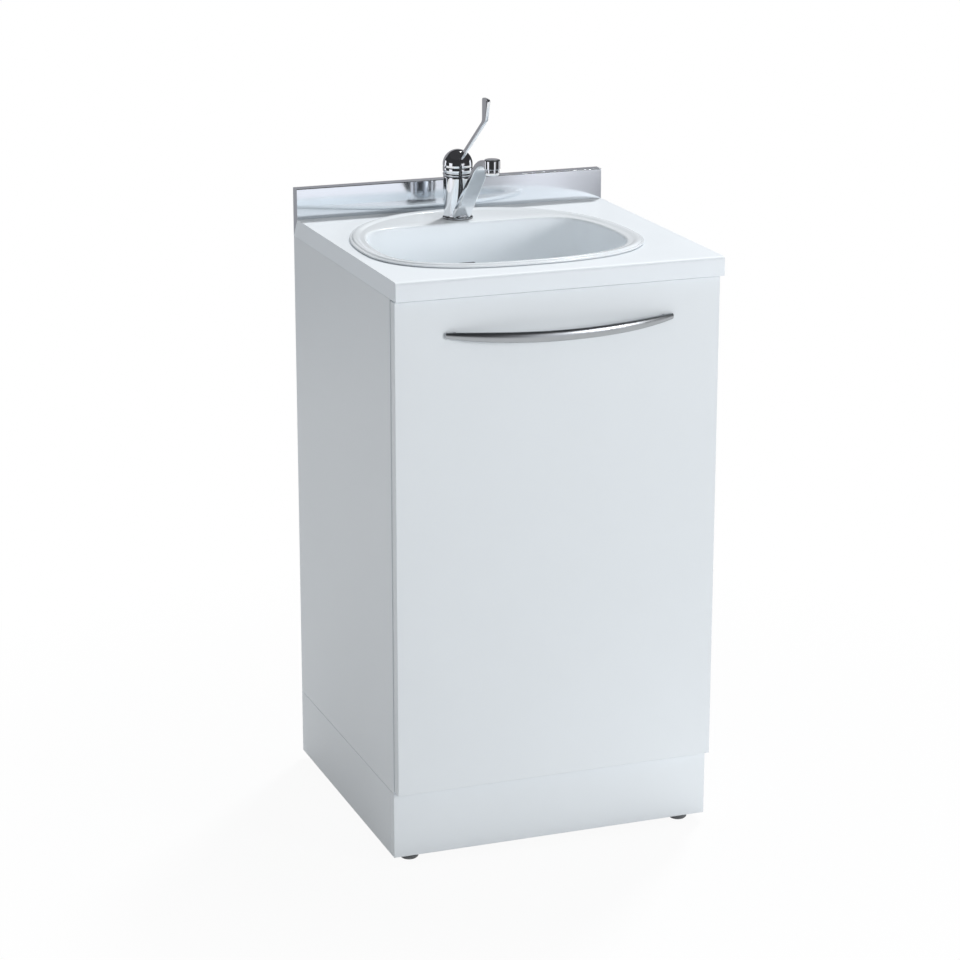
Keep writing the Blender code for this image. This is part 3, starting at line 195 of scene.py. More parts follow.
def add_floor():
    """White floor that keeps a soft shadow near the object and runs out into plain white."""
    bpy.ops.mesh.primitive_plane_add(size=FLOOR_SIZE, location=(0, 0, FLOOR_Z))
    floor = bpy.context.object
    floor.name = "floor"
    look = bpy.data.materials.new("floor")
    look.use_nodes = True
    nodes, links = look.node_tree.nodes, look.node_tree.links
    nodes.remove(nodes["Principled BSDF"])
    diffuse = nodes.new("ShaderNodeBsdfDiffuse")
    diffuse.inputs["Color"].default_value = FLOOR_COLOUR
    glow = nodes.new("ShaderNodeEmission")
    glow.inputs["Color"].default_value = WHITE
    place = nodes.new("ShaderNodeTexCoord")
    away = nodes.new("ShaderNodeVectorMath")
    away.operation = "LENGTH"
    links.new(place.outputs["Object"], away.inputs[0])
    fade = nodes.new("ShaderNodeMapRange")
    for socket, value in FLOOR_FADE.items():
        fade.inputs[socket].default_value = value
    links.new(away.outputs["Value"], fade.inputs["Value"])
    share = nodes.new("ShaderNodeMath")
    share.operation = "MULTIPLY"
    links.new(seen_directly(nodes), share.inputs[0])
    links.new(fade.outputs["Result"], share.inputs[1])
    mix = nodes.new("ShaderNodeMixShader")
    links.new(share.outputs[0], mix.inputs[0])
    links.new(diffuse.outputs[0], mix.inputs[1])
    links.new(glow.outputs[0], mix.inputs[2])
    links.new(mix.outputs[0], nodes["Material Output"].inputs["Surface"])
    floor.data.materials.append(look)


def in_gloss_alone(obj, level):
    """Grey of a studio piece that shows in bright metal and gloss, and casts no light or shadow."""
    look = bpy.data.materials.new(obj.name)
    look.use_nodes = True
    nodes, links = look.node_tree.nodes, look.node_tree.links
    nodes.remove(nodes["Principled BSDF"])
    glow = nodes.new("ShaderNodeEmission")
    glow.inputs["Color"].default_value = (level, level, level * GLOSS_BLUE, 1)
    links.new(glow.outputs[0], nodes["Material Output"].inputs["Surface"])
    obj.data.materials.append(look)
    obj.visible_camera = False
    obj.visible_diffuse = False
    obj.visible_transmission = False
    obj.visible_shadow = False


def add_screen():
    """Dark screen right round the object, from just above the floor to the ceiling."""
    bpy.ops.mesh.primitive_cylinder_add(vertices=SCREEN_SIDES, radius=SCREEN_RADIUS,
                                        depth=SCREEN_HIGH - SCREEN_LOW, end_fill_type="NOTHING",
                                        location=(0, 0, (SCREEN_LOW + SCREEN_HIGH) / 2))
    screen = bpy.context.object
    screen.name = "dark_screen"
    in_gloss_alone(screen, SCREEN_LEVEL)
    bpy.ops.mesh.primitive_plane_add(size=CEILING_SIZE, location=(0, 0, SCREEN_HIGH))
    ceiling = bpy.context.object
    ceiling.name = "dark_ceiling"
    in_gloss_alone(ceiling, CEILING_LEVEL)


def add_card(name, azimuth, distance, width, low, high, level):
    """Upright card round the object, at an azimuth from straight in front."""
    angle = math.radians(azimuth)
    middle = (low + high) / 2
    place = (distance * math.sin(angle), -distance * math.cos(angle), middle)
    bpy.ops.mesh.primitive_plane_add(size=1, location=place, rotation=facing(place, (0, 0, middle)))
    card = bpy.context.object
    card.name = name
    card.scale = (width, high - low, 1)
    in_gloss_alone(card, level)


def add_studio():
    """Lamps, what the metal mirrors, the floor and the camera."""
    bpy.ops.object.select_all(action="DESELECT")
    add_lamps()
    add_screen()
    for name, sizes in CARDS.items():
        add_card(name, *sizes)
    add_world()
    add_floor()
    add_camera()
    bpy.context.scene.view_settings.view_transform = "Standard"


# Finishes

# Sockets of a Mix node in its colour mode
MIX_SHARE = 0
MIX_FROM = 6
MIX_TO = 7
MIX_OUT = 2


class Tone:
    """A value that varies over a surface. Sums and products of tones add the nodes they need."""

    def __init__(self, finish, socket):
        self.finish = finish
        self.socket = socket

    def combined(self, operation, first, second):
        return self.finish.node("ShaderNodeMath", {"operation": operation}, {0: first, 1: second})

    def __add__(self, other):
        return self.combined("ADD", self, other)

    def __radd__(self, other):
        return self.combined("ADD", other, self)

    def __mul__(self, other):
        return self.combined("MULTIPLY", self, other)

    def __rmul__(self, other):
        return self.combined("MULTIPLY", other, self)


class Finish:
    """Material with a Principled shader whose patterns follow Object coordinates."""

    def __init__(self, name, colour, roughness, metallic=0.0):
        self.material = bpy.data.materials.new(name)
        self.material.use_nodes = True
        self.tree = self.material.node_tree
        self.shader = self.tree.nodes["Principled BSDF"]
        self.put("Base Color", (*colour, 1))
        self.put("Roughness", roughness)
        self.put("Metallic", metallic)
        self.place = self.node("ShaderNodeTexCoord", output="Object")

    def put(self, socket, value):
        self.plug(self.shader.inputs[socket], value)

    def plug(self, socket, value):
        if isinstance(value, Tone):
            self.tree.links.new(value.socket, socket)
        else:
            socket.default_value = value

    def node(self, kind, settings=None, inputs=None, output=0):
        """Node of a kind with its settings made, its sockets filled or linked, and one output."""
        made = self.tree.nodes.new(kind)
        for name, value in (settings or {}).items():
            if name == "stops":
                for stop, (position, level) in zip(made.color_ramp.elements, value):
                    stop.position = position
                    stop.color = (level, level, level, 1)
            else:
                setattr(made, name, value)
        for socket, value in (inputs or {}).items():
            self.plug(made.inputs[socket], value)
        return Tone(self, made.outputs[output])

    def stretched(self, scale):
        """Object coordinates drawn out along an axis."""
        return self.node("ShaderNodeMapping", None, {"Vector": self.place, "Scale": scale})

    def noise(self, scale, detail=3.0, vector=None):
        sockets = {"Vector": vector or self.place, "Scale": scale, "Detail": detail}
        return self.node("ShaderNodeTexNoise", None, sockets)

    def shade(self, light, dark, mask):
        """Colour that goes from dark to light with a mask."""
        sockets = {MIX_SHARE: mask, MIX_FROM: (*dark, 1), MIX_TO: (*light, 1)}
        return self.node("ShaderNodeMix", {"data_type": "RGBA"}, sockets, MIX_OUT)

    def steps(self, mask, low, high):
        """Mask with its contrast raised between two levels."""
        return self.node("ShaderNodeValToRGB", {"stops": [(low, 0), (high, 1)]}, {0: mask})

    def bump(self, height, distance):
        sockets = {"Height": height, "Distance": distance, "Strength": 1.0}
        self.put("Normal", self.node("ShaderNodeBump", None, sockets))


def laminate(name, colour, roughness, gloss=0.5):
    """Melamine face: a faint pearl texture, with the sheen wandering a little."""
    look = Finish(name, colour, roughness)
    look.put("Specular IOR Level", gloss)
    cloud = look.noise(9.0)
    dark = [part * 0.975 for part in colour]
    look.put("Base Color", look.shade(colour, dark, cloud))
    look.put("Roughness", roughness - 0.05 + cloud * 0.1)
    look.bump(look.noise(900.0, 1.0), 0.00003)
    return look.material


def hardboard():
    """Pale sheet of pressed fibre."""
    look = Finish("hardboard", (0.70, 0.70, 0.68), 0.6)
    fibre = look.noise(260.0, 6.0)
    look.put("Base Color", look.shade((0.74, 0.74, 0.72), (0.62, 0.61, 0.58), fibre))
    look.bump(fibre, 0.00012)
    return look.material


def softwood():
    """Sawn block with upright grain."""
    look = Finish("softwood", (0.62, 0.45, 0.27), 0.65)
    grain = look.noise(30.0, 5.0, look.stretched((6, 6, 0.5)))
    look.put("Base Color", look.shade((0.74, 0.57, 0.37), (0.50, 0.33, 0.18), grain))
    look.put("Roughness", 0.5 + grain * 0.3)
    look.bump(grain, 0.0003)
    return look.material


def china():
    """Glazed white basin with a slight waviness."""
    colour = (0.88, 0.925, 0.96)
    look = Finish("china", colour, 0.08)
    cloud = look.noise(14.0)
    look.put("Base Color", look.shade(colour, [part * 0.98 for part in colour], cloud))
    look.put("Roughness", 0.05 + cloud * 0.06)
    look.bump(look.noise(40.0, 1.0), 0.00008)
    return look.material


def polished_steel():
    """Sheet steel polished along its length, with fine lines that blur what it mirrors."""
    look = Finish("polished_steel", (0.80, 0.84, 0.88), 0.06, metallic=1.0)
    lines = look.noise(420.0, 4.0, look.stretched((0.02, 1, 1)))
    look.put("Base Color", look.shade((0.83, 0.87, 0.91), (0.76, 0.80, 0.84), lines))
    look.put("Roughness", 0.07 + lines * 0.06)
    look.bump(lines, 0.000002)
    return look.material


def chrome(name, colour, low, high):
    """Plated metal with faint smears that dull its gloss."""
    look = Finish(name, colour, low, metallic=1.0)
    smear = look.steps(look.noise(55.0, 4.0), 0.35, 0.75)
    look.put("Base Color", look.shade(colour, [part * 0.94 for part in colour], smear))
    look.put("Roughness", low + smear * (high - low))
    return look.material


def zinc():
    """Plated steel with a dull bloom."""
    look = Finish("zinc", (0.55, 0.57, 0.60), 0.4, metallic=1.0)
    bloom = look.noise(160.0, 5.0)
    look.put("Base Color", look.shade((0.66, 0.68, 0.70), (0.46, 0.48, 0.52), bloom))
    look.put("Roughness", 0.28 + bloom * 0.25)
    look.bump(bloom, 0.00004)
    return look.material


def moulded(name, colour, roughness):
    """Moulded plastic or rubber with a fine grain."""
    look = Finish(name, colour, roughness)
    cloud = look.noise(35.0)
    look.put("Base Color", look.shade(colour, [part * 0.93 for part in colour], cloud))
    look.put("Roughness", roughness - 0.06 + cloud * 0.12)
    look.bump(look.noise(1400.0, 2.0), 0.00004)
    return look.material


def make_finishes():
    """Material for each slot of the record."""
    return {
        "white_laminate": laminate("white_laminate", (0.76, 0.80, 0.83), 0.42),
        "worktop_laminate": laminate("worktop_laminate", (0.825, 0.87, 0.91), 0.5, 0.25),
        "back_sheet": hardboard(),
        "timber": softwood(),
        "white_glaze": china(),
        "polished_steel": polished_steel(),
        "chrome": chrome("bright_chrome", (0.80, 0.82, 0.84), 0.03, 0.09),
        "satin_chrome": chrome("satin_chrome", (0.42, 0.44, 0.46), 0.28, 0.31),
        "zinc_steel": zinc(),
        "grey_plastic": moulded("grey_plastic", (0.12, 0.125, 0.13), 0.5),
        "white_plastic": moulded("white_plastic", (0.78, 0.78, 0.77), 0.35),
        "rubber": moulded("rubber", (0.20, 0.20, 0.21), 0.75),
        "white_silicone": moulded("white_silicone", (0.78, 0.81, 0.84), 0.40),
    }


FINISHES = make_finishes()


# Modelling

def deselect():
    """Leave edit mode and select nothing."""
    if bpy.context.object and bpy.context.object.mode != "OBJECT":
        bpy.ops.object.mode_set(mode="OBJECT")
    bpy.ops.object.select_all(action="DESELECT")


def pick(obj):
    """Select one object alone."""
    deselect()
    obj.select_set(True)
    bpy.context.view_layer.objects.active = obj


def editing(obj):
    """Edit mode on one object, with all of it selected."""
    pick(obj)
    bpy.ops.object.mode_set(mode="EDIT")
    bpy.ops.mesh.select_all(action="SELECT")


def apply(obj, kind, **settings):
    """Add a modifier, set it and apply it."""
    pick(obj)
    modifier = obj.modifiers.new(kind.lower(), kind)
    for name, value in settings.items():
        setattr(modifier, name, value)
    bpy.ops.object.modifier_apply(modifier=modifier.name)


def eased(obj, width, segments=2, angle=30):
    """Round the sharp edges."""
    limit = math.radians(angle)
    apply(obj, "BEVEL", width=width, segments=segments, limit_method="ANGLE", angle_limit=limit)


def cleaned(obj, distance=1e-6):
    """Merge doubled points and turn the faces outwards."""
    editing(obj)
    bpy.ops.mesh.remove_doubles(threshold=distance)
    bpy.ops.mesh.normals_make_consistent(inside=False)
    bpy.ops.object.mode_set(mode="OBJECT")


def finished(obj, name, look, body, *replaced):
    """Name a piece, leave its place in its mesh, shade it and set it riding."""
    pick(obj)
    bpy.ops.object.transform_apply(location=True, rotation=True, scale=True)
    bpy.ops.object.shade_smooth_by_angle(angle=SMOOTH_ANGLE)
    obj.name = name
    obj.data.name = name
    obj.data.materials.clear()
    obj.data.materials.append(FINISHES[look])
    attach(obj, body)
    if replaced:
        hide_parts(*replaced)
    return obj


def stands_for(obj, name, node):
    """Finish a piece that takes a solid's place, with its finish and its body."""
    finished(obj, name, SLOT_OF[node], BODY_OF[node], node)


def traced(points):
    """Chain of edges in edit mode: one point of a plane is pulled from place to place."""
    deselect()
    bpy.ops.mesh.primitive_plane_add(size=1)
    editing(bpy.context.object)
    bpy.ops.mesh.merge(type="CENTER")
    bpy.ops.transform.translate(value=points[0])
    for before, after in zip(points, points[1:]):
        step = Vector(after) - Vector(before)
        bpy.ops.mesh.extrude_vertices_move(TRANSFORM_OT_translate={"value": step})
    bpy.ops.mesh.select_all(action="SELECT")
    return bpy.context.object


def lathe(profile, place, along=UP, sides=SIDES, ribs=0, rib_depth=0.0):
    """Piece turned from (radius, height) points. A profile away from the axis closes as a ring, and
    ribs are pressed into the widest part."""
    points = [(radius, 0, height) for radius, height in profile]
    if profile[0][0] > 0:
        points.append(points[0])
    if ribs:
        sides = 4 * ribs
    obj = traced(points)
    bpy.ops.mesh.spin(steps=sides, angle=math.tau, center=(0, 0, 0), axis=(0, 0, 1))
    bpy.ops.object.mode_set(mode="OBJECT")
    cleaned(obj)
    widest = max(radius for radius, _ in profile)
    if ribs:
        for vert in obj.data.vertices:
            turn = round(math.atan2(vert.co.y, vert.co.x) / math.tau * sides) % 4
            if vert.co.xy.length > widest - rib_depth and turn < 2:
                vert.co.xy = vert.co.xy.normalized() * (vert.co.xy.length - rib_depth)
    turn = UP.rotation_difference(along).to_matrix().to_4x4()
    obj.matrix_world = Matrix.Translation(place) @ turn
    bpy.ops.object.transform_apply(location=True, rotation=True, scale=True)
    return obj


def rod(radius, low, high, place, along=UP, sides=SIDES):
    """Plain round tool."""
    return lathe([(0, low), (radius, low), (radius, high), (0, high)], place, along, sides)


def plate(outline, axis, low, high):
    """Flat outline filled and pulled out along one axis. Its points are in the other two axes."""
    points = []
    for point in outline:
        place = list(point)
        place.insert(axis, low)
        points.append(place)
    obj = traced(points)
    bpy.ops.mesh.edge_face_add()
    step = [0, 0, 0]
    step[axis] = high - low
    bpy.ops.mesh.extrude_region_move(TRANSFORM_OT_translate={"value": step})
    bpy.ops.object.mode_set(mode="OBJECT")
    cleaned(obj)
    return obj


def drawn(rows, sides, capped, place):
    """Tube drawn out of a cylinder: each point goes where its row and its turn say."""
    deselect()
    fill = "NGON" if capped else "NOTHING"
    bpy.ops.mesh.primitive_cylinder_add(vertices=sides, radius=1, depth=2, end_fill_type=fill)
    obj = bpy.context.object
    editing(obj)
    bpy.ops.mesh.select_all(action="DESELECT")
    bpy.ops.mesh.select_mode(type="EDGE")
    bpy.ops.object.mode_set(mode="OBJECT")
    for edge in obj.data.edges:
        first, last = edge.vertices
        edge.select = abs(obj.data.vertices[first].co.z - obj.data.vertices[last].co.z) > 1
    bpy.ops.object.mode_set(mode="EDIT")
    bpy.ops.mesh.subdivide(number_cuts=rows - 2)
    bpy.ops.mesh.select_mode(type="VERT")
    bpy.ops.object.mode_set(mode="OBJECT")
    for vert in obj.data.vertices:
        row = round((vert.co.z + 1) / 2 * (rows - 1))
        turn = round(math.atan2(vert.co.y, vert.co.x) / math.tau * sides) % sides
        vert.co = place(row, turn)
    return obj


def joined(obj, tool, operation):
    """Join a piece on, or cut it out, and remove the tool."""
    apply(obj, "BOOLEAN", object=tool, operation=operation, solver="EXACT")
    bpy.data.objects.remove(tool)


def copied(node):
    """Copy of a CAD node with its triangles joined up."""
    deselect()
    obj = bpy.data.objects.new(node, NODES[node].data.copy())
    bpy.context.scene.collection.objects.link(obj)
    editing(obj)
    bpy.ops.mesh.customdata_custom_splitnormals_clear()
    bpy.ops.mesh.remove_doubles(threshold=1e-6)
    bpy.ops.object.mode_set(mode="OBJECT")
    return obj


def smoothed(node):
    """CAD node whose round faces are shaded smooth."""
    stands_for(copied(node), f"{node}_smooth", node)


def arc(radius, first, last, steps):
    """Points along an arc about the origin, with angles in degrees."""
    points = []
    for i in range(steps + 1):
        angle = math.radians(first + (last - first) * i / steps)
        points.append((radius * math.cos(angle), radius * math.sin(angle)))
    return points


def rounded(corners, steps=6):
    """Closed outline through (x, y, radius) corners, with an arc at each corner that has a radius."""
    outline = []
    for i, (x, y, radius) in enumerate(corners):
        corner = Vector((x, y))
        if not radius:
            outline.append(corner)
            continue
        before = (Vector(corners[i - 1][:2]) - corner).normalized()
        after = (Vector(corners[(i + 1) % len(corners)][:2]) - corner).normalized()
        half = before.angle(after) / 2
        centre = corner + (before + after).normalized() * radius / math.sin(half)
        start = corner + before * radius / math.tan(half) - centre
        end = corner + after * radius / math.tan(half) - centre
        first = math.degrees(math.atan2(start.y, start.x))
        sweep = (math.degrees(math.atan2(end.y, end.x)) - first + 180) % 360 - 180
        outline += [centre + Vector(point) for point in arc(radius, first, first + sweep, steps)]
    return outline


# Basin

BASIN_SIDES = 128
HALF_WIDTH = 0.2130
FRONT_REACH = 0.161
BACK_REACH = 0.243
FRONT_POWER = 2.5
BACK_POWER = 2.2
CORNER_POWER = 11.0
BOWL_BACK = 0.142
BOWL_INSET = 0.0252
BOWL_DEPTH = 0.145
BOWL_POWER = 3.0
BOWL_WALL = 0.008
BOWL_ROWS = 18
OUTSIDE_ROWS = 8
LEDGE_Z = 0.8903
LEDGE_UNDER = 0.8783
LIP = 0.004
FLANGE_RADIUS = 0.0343
STRAINER_RADIUS = 0.034
DRAIN_RADIUS = 0.0225
DRAIN_SEAT = 0.7395
DRAIN_UNDER = 0.7315
RIM_SEAT = 0.0015
COLLAR_INSET = 0.0152
TAP_HOLE = 0.017
TAP_HOLE_LOW = -0.03
TAP_HOLE_HIGH = 0.02
OVERFLOW_WIDTH = 0.029
OVERFLOW_HEIGHT = 0.006
OVERFLOW_CORNER = 0.0028
OVERFLOW_Z = 0.8260
OVERFLOW_BACK = 0.1138
OVERFLOW_CUT = 0.015
# Dark sheet at the bottom of the overflow slot, painted shade for the deep channel: its thickness and the
# rounding of its edges
SHADE_SHEET_THICK = 0.001
SHADE_SHEET_EASE = 0.0002

# Section of the rim's bead, as inset from the outer edge and height above the worktop
BEAD = [(0.0170, 0.0033), (0.0158, 0.0035), (0.0140, 0.0043), (0.0120, 0.0052), (0.0095, 0.0058),
        (0.0075, 0.0060), (0.0062, 0.0059), (0.0052, 0.0055), (0.0045, 0.0048), (0.0040, 0.0040),
        (0.0036, 0.0036), (0.0031, 0.0035), (0.0023, 0.0037), (0.0015, 0.0037), (0.0008, 0.0034),
        (0.0002, 0.0028), (0.0, 0.0022), (0.0, RIM_SEAT)]


def basin_edge(angle):
    """Point of the rim's outer edge: a rounded shape towards the front, a longer one to the tap."""
    across, along = math.cos(angle), math.sin(angle)
    reach, power = (FRONT_REACH, FRONT_POWER) if along < 0 else (BACK_REACH, BACK_POWER)
    share = abs(across / HALF_WIDTH) ** power + abs(along / reach) ** power
    return Vector((across, along)) * share ** (-1 / power)


def rim_points(inset):
    """Points round the rim, at an even inset from its outer edge."""
    points = []
    nudge = math.tau / BASIN_SIDES / 10
    for i in range(BASIN_SIDES):
        angle = math.tau * i / BASIN_SIDES
        along = (basin_edge(angle + nudge) - basin_edge(angle - nudge)).normalized()
        points.append(basin_edge(angle) - inset * Vector((along.y, -along.x)))
    return points


def bowl_points(inset):
    """Outline of the bowl: it follows the rim, with a straight edge and round corners at the ledge."""
    points = []
    straight = BOWL_BACK + BOWL_INSET - inset
    for point in rim_points(inset):
        reach = point.length
        ray = point / reach
        if ray.y > 0:
            share = reach ** -CORNER_POWER + (straight / ray.y) ** -CORNER_POWER
            reach = share ** (-1 / CORNER_POWER)
        points.append(ray * reach)
    return points


def rim_row(inset, height):
    """Row round the rim at a height."""
    return [(BASIN.x + point.x, BASIN.y + point.y, height) for point in rim_points(inset)]


def drain_arms(inset):
    """Arms from the drain out to the bowl's outline."""
    drain = DRAIN.xy - BASIN.xy
    return [point - drain for point in bowl_points(inset)]


def bowl_row(inset, height, shrink=1.0, grow=0.0, roundness=0.0):
    """Row round the bowl, drawn in towards the drain and towards a circle there."""
    row = []
    for arm in drain_arms(inset):
        reach = arm.length * shrink
        reach += (STRAINER_RADIUS - reach) * roundness + grow
        place = arm.normalized() * reach
        row.append((DRAIN.x + place.x, DRAIN.y + place.y, height))
    return row


def drain_row(radius, height):
    """Round row about the drain, with its points in line with the bowl's."""
    places = [arm.normalized() * radius for arm in drain_arms(BOWL_INSET)]
    return [(DRAIN.x + place.x, DRAIN.y + place.y, height) for place in places]


def bowl_steps(count):
    """Steps down the bowl: width share, depth, and how round it is."""
    steps = []
    for i in range(count):
        way = i / count
        width = math.cos(way * math.pi / 2) ** (2 / BOWL_POWER)
        depth = BOWL_DEPTH * math.sin(way * math.pi / 2) ** (2 / BOWL_POWER)
        steps.append((width, depth, way ** 3))
    return steps


def basin_rows():
    """Rows from the drain up the bowl, over the ledge and the bead, and back down the outside."""
    rows = [drain_row(DRAIN_RADIUS, DRAIN_SEAT), drain_row(FLANGE_RADIUS, DRAIN_SEAT),
            drain_row(FLANGE_RADIUS, DRAIN.z)]
    edge = LEDGE_Z - LIP
    for width, depth, roundness in reversed(bowl_steps(BOWL_ROWS)):
        rows.append(bowl_row(BOWL_INSET, edge - depth, width, 0, roundness))
    for out, down in arc(LIP, 0, 90, 4)[1:]:
        rows.append(bowl_row(BOWL_INSET - LIP + out, edge + down))
    rows += [rim_row(inset, WORKTOP_Z + height) for inset, height in BEAD]
    rows.append(rim_row(COLLAR_INSET, WORKTOP_Z + RIM_SEAT))
    rows.append(rim_row(COLLAR_INSET, LEDGE_UNDER))
    for width, depth, roundness in bowl_steps(OUTSIDE_ROWS):
        rows.append(bowl_row(BOWL_INSET, LEDGE_UNDER - depth, width, BOWL_WALL, roundness))
    rows.append(drain_row(FLANGE_RADIUS + BOWL_WALL, DRAIN_UNDER))
    rows.append(drain_row(DRAIN_RADIUS, DRAIN_UNDER))
    return rows


def overflow_plate(shrink, front, back):
    """Oblong across the back of the bowl, as the overflow's slot or as the dark sheet of painted shade at
    its bottom.
    """
    half, tall = OVERFLOW_WIDTH / 2 - shrink, OVERFLOW_HEIGHT / 2 - shrink
    corner = OVERFLOW_CORNER - shrink
    turns = [(-1, -1), (1, -1), (1, 1), (-1, 1)]
    outline = [(BASIN.x + x * half, OVERFLOW_Z + z * tall, corner) for x, z in turns]
    return plate(rounded(outline), 1, front, back)


def make_basin():
    """China basin, drawn out row by row, with a hole for the tap and an overflow slot, whose bottom gets a
    dark sheet of painted shade.
    """
    rows = basin_rows()
    basin = drawn(len(rows), BASIN_SIDES, False, lambda row, turn: rows[row][turn])
    editing(basin)
    bpy.ops.mesh.select_all(action="DESELECT")
    bpy.ops.mesh.select_non_manifold()
    bpy.ops.mesh.bridge_edge_loops()
    cleaned(basin)
    joined(basin, rod(TAP_HOLE, TAP_HOLE_LOW, TAP_HOLE_HIGH, TAP), "DIFFERENCE")
    joined(basin, overflow_plate(0, OVERFLOW_BACK - OVERFLOW_CUT, OVERFLOW_BACK), "DIFFERENCE")
    stands_for(basin, "china_basin", "basin")
    # A dark sheet in the rubber finish at the slot's bottom is painted shade: it stands for the shade deep
    # inside the overflow channel.
    bottom = OVERFLOW_BACK - SHADE_SHEET_EASE
    dark = overflow_plate(GAP, bottom - SHADE_SHEET_THICK, bottom)
    eased(dark, SHADE_SHEET_EASE, segments=1)
    finished(dark, "overflow_painted_shade", "rubber", BODY_OF["basin"])


# Waste and trap

STRAINER_END = 0.696
STRAINER_HOLE = 0.0042
STRAINER_HOLES = 6
HOLE_CIRCLE = 0.0113
HOLE_REACH = 0.004

NUT_EASE = 0.0008
RIB_DEPTH = 0.0012
CUP_BORE = 0.0268
CUP_WALL = 0.003
CUP_RIBS = 20
CUP_RIB_DEPTH = 0.0007


def make_strainer():
    """Dished strainer: its flange rolls over at the edge, with round holes in the plate."""
    low, top = DRAIN_SEAT + GAP, DRAIN.z
    profile = [(0, low), (0.018, low), (0.018, STRAINER_END), (0.0205, STRAINER_END), (0.0205, low),
               (0.0330, low), (0.0340, low + 0.0006), (0.0339, top - 0.0008), (0.0332, top - 0.0001),
               (0.0320, top), (0.0290, top - 0.0002), (0.0240, top - 0.0007), (0.0200, top - 0.0009),
               (0, top - 0.0009)]
    strainer = lathe(profile, DRAIN * Vector((1, 1, 0)))
    places = [Vector((DRAIN.x, DRAIN.y, 0))]
    for x, y in arc(HOLE_CIRCLE, 0, 360, STRAINER_HOLES)[:-1]:
        places.append(Vector((DRAIN.x + x, DRAIN.y + y, 0)))
    for place in places:
        hole = rod(STRAINER_HOLE, low - HOLE_REACH, top + HOLE_REACH, place, sides=SMALL_SIDES)
        joined(strainer, hole, "DIFFERENCE")
    stands_for(strainer, "dished_strainer", "strainer")


def make_nut(node, outer, inner, ribs, lying=False):
    """Ribbed nut in a solid's place, upright below the drain or lying along the outlet."""
    low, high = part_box(node)
    start, end, along = low.z, high.z, UP
    place = Vector((DRAIN.x, DRAIN.y, 0))
    if lying:
        start, end, along = low.y, high.y, BACKWARDS
        place = Vector((DRAIN.x, 0, (low.z + high.z) / 2))
    profile = [(inner, start), (outer - NUT_EASE, start), (outer, start + NUT_EASE),
               (outer, end - NUT_EASE), (outer - NUT_EASE, end), (inner, end)]
    nut = lathe(profile, place, along, ribs=ribs, rib_depth=RIB_DEPTH)
    stands_for(nut, f"ribbed_{node}", node)


def make_trap():
    """Grip ribs on the nuts and the cup of the bottle trap."""
    make_nut("waste_nut", 0.0340, 0.0208, 24)
    make_nut("trap_inlet_nut", 0.0225, 0.0163, 18)
    make_nut("trap_outlet_nut", 0.0225, 0.0163, 18, lying=True)
    low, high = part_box("trap_cup")
    outer = (high.x - low.x) / 2
    profile = [(0, low.z), (CUP_BORE - 2 * CUP_WALL, low.z), (CUP_BORE - CUP_WALL, low.z + 0.0006),
               (outer - 0.001, low.z + 0.0045), (outer - 0.0008, high.z - 0.016), (outer, high.z - 0.0150),
               (outer, high.z - 0.001), (outer - 0.0006, high.z), (CUP_BORE, high.z),
               (CUP_BORE, low.z + 2 * CUP_WALL), (CUP_BORE - CUP_WALL, low.z + CUP_WALL),
               (0, low.z + CUP_WALL)]
    cup = lathe(profile, Vector((DRAIN.x, DRAIN.y, 0)), ribs=CUP_RIBS, rib_depth=CUP_RIB_DEPTH)
    stands_for(cup, "ribbed_trap_cup", "trap_cup")


# Mixer tap

SPOUT_ROOT = Vector((0.0150, 0.0052))
SPOUT_LEVEL = 0.1055
SPOUT_END = 0.149
SPOUT_ANGLE = math.radians(45)
SPOUT_BEND = 0.026
SPOUT_THICK = 0.011
SPOUT_WIDTHS = (0.027, 0.021)
SPOUT_CORNER = 0.0026
BEND_ROWS = 12
CORNER_STEPS = 11
SHANK_HOLE = 0.0158
SHANK_DEPTH = 0.006
HEAD_TALL = 0.0142
HEAD_SIDES = 64
AERATOR_HOLE = 0.0096
AERATOR_DEPTH = 0.0043
COLLAR_Z = 0.0653

# Turned sections, as radius and height
BODY_SECTION = [(0, 0), (0.0229, 0), (0.0232, 0.0004), (0.0232, 0.0011), (0.0227, 0.0018), (0.0219, 0.0023),
                (0.0214, 0.0034), (0.02142, 0.0050), (0.02218, 0.0616), (0.0222, 0.0632), (0.0220, 0.0642),
                (0.0214, 0.0648), (0.0206, 0.0650), (0.0183, 0.0650), (0.0183, 0.0200), (0, 0.0200)]
HEAD_SECTION = [(0, 0), (0.0116, 0), (0.0120, 0.0005), (0.0120, 0.0118), (0.0118, 0.0127), (0.0112, 0.0135),
                (0.0102, 0.0140), (0.0080, HEAD_TALL), (0, HEAD_TALL)]
AERATOR_SECTION = [(0, 0.0040), (0.0093, 0.0040), (0.0093, -0.0003), (0.0103, -0.0003), (0.0108, -0.0008),
                   (0.0108, -0.0036), (0.0104, -0.0040), (0.0104, -0.0046), (0.0108, -0.0050),
                   (0.0108, -0.0080), (0.0105, -0.0090), (0.0098, -0.0095), (0.0074, -0.0095),
                   (0.0072, -0.0090), (0.0072, -0.0077), (0, -0.0077)]
COLLAR_SECTION = [(0.0194, 0), (0.0214, 0), (0.0222, 0.0003), (0.0227, 0.0010), (0.0228, 0.0018),
                  (0.0226, 0.0027), (0.0220, 0.0034), (0.0216, 0.0038), (0.0216, 0.0050), (0.0219, 0.0056),
                  (0.0224, 0.0060), (0.0226, 0.0066), (0.0228, 0.0120), (0.0225, 0.0125), (0.0194, 0.0125)]


